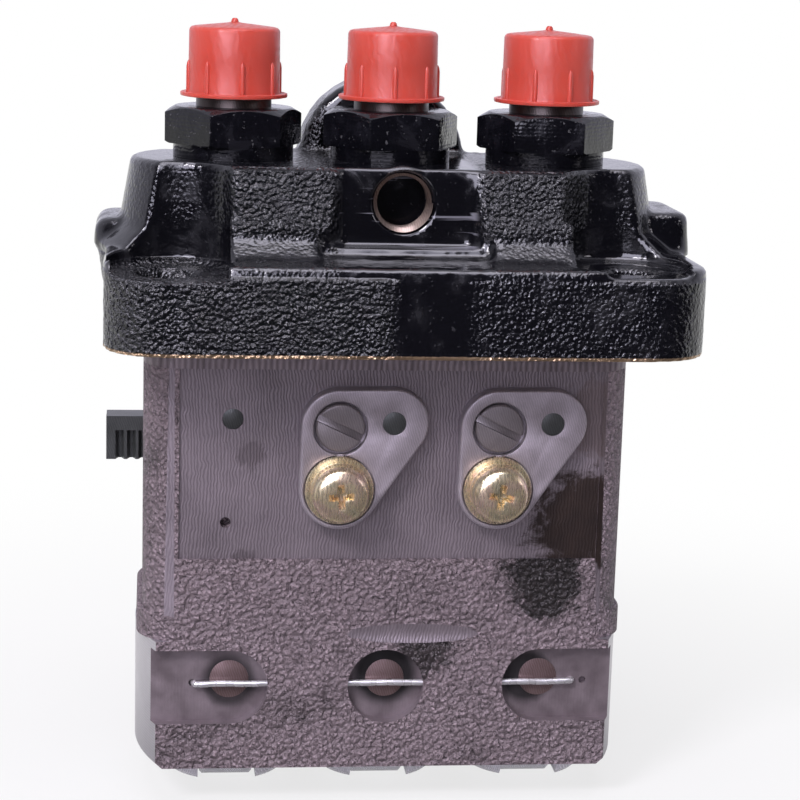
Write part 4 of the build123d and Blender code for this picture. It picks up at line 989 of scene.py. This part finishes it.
class PUMP_OT_screws(bpy.types.Operator):
    """Clamp screws, their washers and the softened small parts of the adjusters"""

    bl_idname = "pump.screws"
    bl_label = "Screws and washers"

    def execute(self, context):
        self.clamp_screws()
        self.washers("clamp_washers", "flat_washers", 5.4)
        self.washers("clamp_lock_washers", "spring_washers", 4.6, split=True)
        self.softened()
        return {"FINISHED"}

    def clamp_screws(self):
        """Pan heads with a tapered cross recess."""
        low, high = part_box("plate_clamp_screws")
        top, end = -low.y / MM, -high.y / MM
        screws = []
        for x, turn in zip(CLAMP_X, (4, -8)):
            rings = [(SHANK_R, end + 0.02), (SHANK_R, top - HEAD_T)]
            rings += [(radius, top - depth) for radius, depth in HEAD_PROFILE]
            screw = lathe(rings, 72)
            for step in (0, 90):
                combine(screw, spin(self.recess_arm(top, 2.45, 0.62, 2.1), step + turn), "DIFFERENCE")
            turn_to(screw, (0, -1, 0), (x, 0, CLAMP_Z))
            screws.append(soften(screw, 0.07, 2, 40))
        piece = smooth(join(screws), 35)
        settle(piece, "pan_head_screws", "housing", "yellow_zinc", ["zinc"], "plate_clamp_screws")

    def recess_arm(self, top, reach, half, depth):
        """One arm pair of a cross recess, tapering as it goes down."""
        arm = bar(-reach, reach, -half, half, top - depth, top + 1)
        for vertex in arm.data.vertices:
            if vertex.co.z < (top - depth / 2) * MM:
                vertex.co.x *= 0.42
                vertex.co.y *= 0.55
        return arm

    def washers(self, node, name, radius, split=False):
        """A round-rimmed washer under each screw, split if it is a spring washer."""
        low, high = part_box(node)
        back, front = -high.y / MM, -low.y / MM
        flat = radius - WASHER_RIM
        rings = [(flat, back), (radius, back + WASHER_RIM), (radius, front - WASHER_RIM), (flat, front)]
        made = []
        for x in CLAMP_X:
            washer = lathe(rings, 72)
            hole = lathe([(WASHER_BORE_R, back - 1), (WASHER_BORE_R, front + 1)], 40)
            combine(washer, hole, "DIFFERENCE")
            if split:
                combine(washer, spin(bar(2, 7, -0.45, 0.45, back - 1, front + 1), -40), "DIFFERENCE")
            made.append(turn_to(washer, (0, -1, 0), (x, 0, CLAMP_Z)))
        settle(smooth(join(made), 35), name, "housing", "yellow_zinc", ["zinc"], node)

    def softened(self):
        """Copies of small machined parts with their sharp edges broken."""
        jobs = [(f"adjusting_plate_{n}", f"plate_{n}", "plate", 0.12) for n in (2, 3)]
        jobs += [(f"eccentric_screw_{n}", f"eccentric_{n}", "screw", 0.08) for n in (2, 3)]
        jobs += [(f"plate_pin_{n}", f"plate_{n}", "dark", 0.15) for n in (2, 3)]
        jobs.append(("tappet_guide_pins", "housing", "brown", 0.18))
        jobs.append(("barrel_locating_pin", "housing", "dark", 0.15))
        for node, body, look, width in jobs:
            piece = smooth(soften(node_copy(node, node), width, 2, 35), 35)
            settle(piece, f"finished_{node}", body, SLOTS[node], [look], node)


class PUMP_OT_wires(bpy.types.Operator):
    """Retaining wires, slightly bent by hand"""

    bl_idname = "pump.wires"
    bl_label = "Retaining wires"

    def execute(self, context):
        wires = []
        spans = (
            ((-30.6, 0.9), (-30.55, 0.05), (-29.8, -0.02), (-26, 0.06), (-22, -0.05), (-18.0, 0.02)),
            ((-6.9, 0.0), (-3, 0.05), (1, -0.05), (4, 0.03), (6.9, 0.0)),
            ((18.1, 0.02), (22, -0.05), (26, 0.06), (29.8, 0.02), (30.55, 0.05), (30.6, 0.9)))
        for span in spans:
            curve = bpy.data.curves.new("wire", "CURVE")
            curve.dimensions = "3D"
            curve.bevel_depth = WIRE_R * MM
            curve.bevel_resolution = 3
            curve.use_fill_caps = True
            line = curve.splines.new("NURBS")
            line.points.add(len(span) - 1)
            for point, (x, depth) in zip(line.points, span):
                bend = 0.10 * math.sin(x * 0.9)
                point.co = (x * MM, (RETAINER_Y + depth) * MM, (RETAINER_Z + bend) * MM, 1)
            line.order_u = 3
            line.use_endpoint_u = True
            wire = bpy.data.objects.new("wire", curve)
            context.scene.collection.objects.link(wire)
            take(wire)
            bpy.ops.object.convert(target="MESH")
            wires.append(bpy.context.object)
        piece = smooth(join(wires), 50)
        settle(piece, "retaining_wires", "housing", "spring_wire", ["wire"], "guide_pin_retainers")
        return {"FINISHED"}


class PUMP_OT_springs(bpy.types.Operator):
    """Coil springs that ride on what presses on them"""

    bl_idname = "pump.springs"
    bl_label = "Springs"

    def execute(self, context):
        for number in (1, 2, 3):
            self.spring("plunger_spring", "tappet", "tappet_lift", number)
        for number in (1, 2, 3):
            self.spring("delivery_valve_spring", "delivery_valve", "valve_lift", number)
        return {"FINISHED"}

    def spring(self, kind, body, joint, number):
        """One spring, a smoothed copy of its node riding on its moving body; joint is not used."""
        node = f"{kind}_{number}"
        piece = smooth(node_copy(node, node), 40)
        settle(piece, f"coiled_{node}", f"{body}_{number}", "spring_wire", ["wire"], node)
        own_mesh(piece)


class PUMP_OT_inner_parts(bpy.types.Operator):
    """Finishes on the parts that keep their machined shape"""

    bl_idname = "pump.inner_parts"
    bl_label = "Inner parts"

    def execute(self, context):
        for name, node in NODES.items():
            node.data.materials.clear()
            node.data.materials.append(finish(SLOT_FINISH[SLOTS[name]]))
        return {"FINISHED"}


# Stage


class PUMP_OT_stage(bpy.types.Operator):
    """Floor, light, background and camera"""

    bl_idname = "pump.stage"
    bl_label = "Stage"

    def execute(self, context):
        self.floor()
        self.world(context)
        self.lights(context.scene.pump_stage)
        self.camera(context)
        context.scene.view_settings.view_transform = "Standard"
        return {"FINISHED"}

    def floor(self):
        """Pale floor under the rollers: white to the camera, shaded by the part near it, and
        in reflections dark in front and white behind."""
        deselect_all()
        bpy.ops.mesh.primitive_plane_add(size=FLOOR_SIZE, location=(0, 0, CAD_BOX[0][2]))
        floor = bpy.context.object
        floor.name = "floor"
        made = Finish("floor_white", 0.0, 0.9)
        made.set(Base_Color=FLOOR_COLOUR)
        tree, place = made.tree, made.place
        path = new_node(tree, "LightPath").outputs
        away = ramp(tree, length_node(tree, place), 0.03, 0.22, 0.75, 1.0)
        to_camera = times(tree, path["Is Camera Ray"], away)
        seen = mix_shader(tree, to_camera, made.shader.outputs[0], glow(tree, "Emission"))
        behind = ramp(tree, apart(tree, place)["Y"], -0.06, 0.06, 0.02, 1.0)
        mirrored = glow(tree, "Emission", strength=behind)
        both = mix_shader(tree, path["Is Glossy Ray"], seen, mirrored)
        tree.links.new(both, tree.nodes["Material Output"].inputs["Surface"])
        floor.data.materials.append(made.material)

    def world(self, context):
        """White for the camera; for reflections bright behind and beside, dark in front."""
        world = bpy.data.worlds.new("studio")
        context.scene.world = world
        world.use_nodes = True
        tree = world.node_tree
        tree.nodes.clear()
        place = new_node(tree, "TexCoord").outputs["Generated"]
        path = new_node(tree, "LightPath").outputs
        behind = ramp(tree, apart(tree, place)["Y"], -0.5, 0.1, 0.02, 1.0)
        lit = glow(tree, "Background", ROOM_COLOUR, 0.14)
        mirrored = glow(tree, "Background", MIRRORED_COLOUR, behind)
        unseen = mix_shader(tree, path["Is Glossy Ray"], lit, mirrored)
        through = most(tree, path["Is Camera Ray"], path["Is Transmission Ray"])
        both = mix_shader(tree, through, unseen, glow(tree, "Background"))
        new_node(tree, "OutputWorld", Surface=both)

    def lights(self, stage):
        """Softboxes in front, above and beside; some only lend their gleam, one only its light."""
        places = (  # name, place, size, share of the key's power, lights surfaces, is mirrored in them
            ("key", (-0.50, -0.62, 0.64), 0.26, 1.45, True, True),
            ("sheen", (-0.36, -0.84, 0.40), 0.66, 2.3, False, True),
            ("right", (0.80, -0.42, 0.30), 0.18, 0.10, True, True),
            ("top", (0.0, -0.20, 0.93), 0.66, 0.8, True, True),
            ("shelf", (-0.10, -0.34, 0.88), 0.60, 1.2, False, True),
            ("fill", (-0.10, -0.95, 0.05), 0.70, 0.38, True, False))
        for name, place, size, share, lighting, mirrored in places:
            light = bpy.data.lights.new(name, "AREA")
            light.shape = "SQUARE"
            light.size = size
            light.energy = stage.key * share
            light.color = LAMP_COLOUR if lighting else GLOSS_LAMP_COLOUR
            lamp = bpy.data.objects.new(name, light)
            lamp.visible_diffuse = lighting
            lamp.visible_glossy = mirrored
            lamp.location = place
            aim = Vector((0, 0, -0.01)) - Vector(place)
            lamp.rotation_euler = aim.to_track_quat("-Z", "Y").to_euler()
            bpy.context.scene.collection.objects.link(lamp)

    def camera(self, context):
        """A long lens from the front, a little above and to the left."""
        pitch, yaw, roll = (math.radians(angle) for angle in CAMERA_TURN)
        level = math.cos(pitch)
        forward = Vector((math.sin(yaw) * level, math.cos(yaw) * level, -math.sin(pitch)))
        right = Vector((math.cos(yaw), -math.sin(yaw), 0))
        above = right.cross(forward)
        right_rolled = right * math.cos(roll) + above * math.sin(roll)
        above_rolled = above * math.cos(roll) - right * math.sin(roll)
        data = bpy.data.cameras.new("camera")
        data.sensor_width = SENSOR
        data.lens = context.scene.pump_stage.lens
        data.clip_start = 0.01
        camera = bpy.data.objects.new("camera", data)
        context.scene.collection.objects.link(camera)
        turn = Matrix((right_rolled, above_rolled, -forward)).transposed()
        camera.matrix_world = Matrix.Translation(CAMERA_PLACE) @ turn.to_4x4()
        context.scene.camera = camera


class PUMP_PT_panel(bpy.types.Panel):
    """Lists the pump's operators and settings"""

    bl_idname = "PUMP_PT_panel"
    bl_label = "Injection pump"
    bl_space_type = "VIEW_3D"
    bl_region_type = "UI"
    bl_category = "Pump"

    def draw(self, context):
        layout = self.layout
        for name in ("paint_colour", "iron_colour", "cap_colour", "voxel", "lump"):
            layout.prop(context.scene.pump_look, name)
        for name in ("lens", "key"):
            layout.prop(context.scene.pump_stage, name)
        for operator in OPERATORS:
            layout.operator(operator.bl_idname)


OPERATORS = (
    PUMP_OT_inner_parts, PUMP_OT_casting, PUMP_OT_threads, PUMP_OT_holders, PUMP_OT_caps,
    PUMP_OT_screws, PUMP_OT_wires, PUMP_OT_springs, PUMP_OT_stage)
CLASSES = (PumpLook, PumpStage, *OPERATORS, PUMP_PT_panel)


def register():
    """Adds the classes and the scene's settings."""
    for item in CLASSES:
        bpy.utils.register_class(item)
    bpy.types.Scene.pump_look = bpy.props.PointerProperty(type=PumpLook)
    bpy.types.Scene.pump_stage = bpy.props.PointerProperty(type=PumpStage)


def unregister():
    """Takes them away again."""
    del bpy.types.Scene.pump_stage
    del bpy.types.Scene.pump_look
    for item in reversed(CLASSES):
        bpy.utils.unregister_class(item)


def main():
    """Dresses the pump."""
    register()
    bpy.ops.pump.inner_parts()
    bpy.ops.pump.casting()
    bpy.ops.pump.threads()
    bpy.ops.pump.holders()
    bpy.ops.pump.caps()
    bpy.ops.pump.screws()
    bpy.ops.pump.wires()
    bpy.ops.pump.springs()
    bpy.ops.pump.stage()


if __name__ == "__main__":
    main()
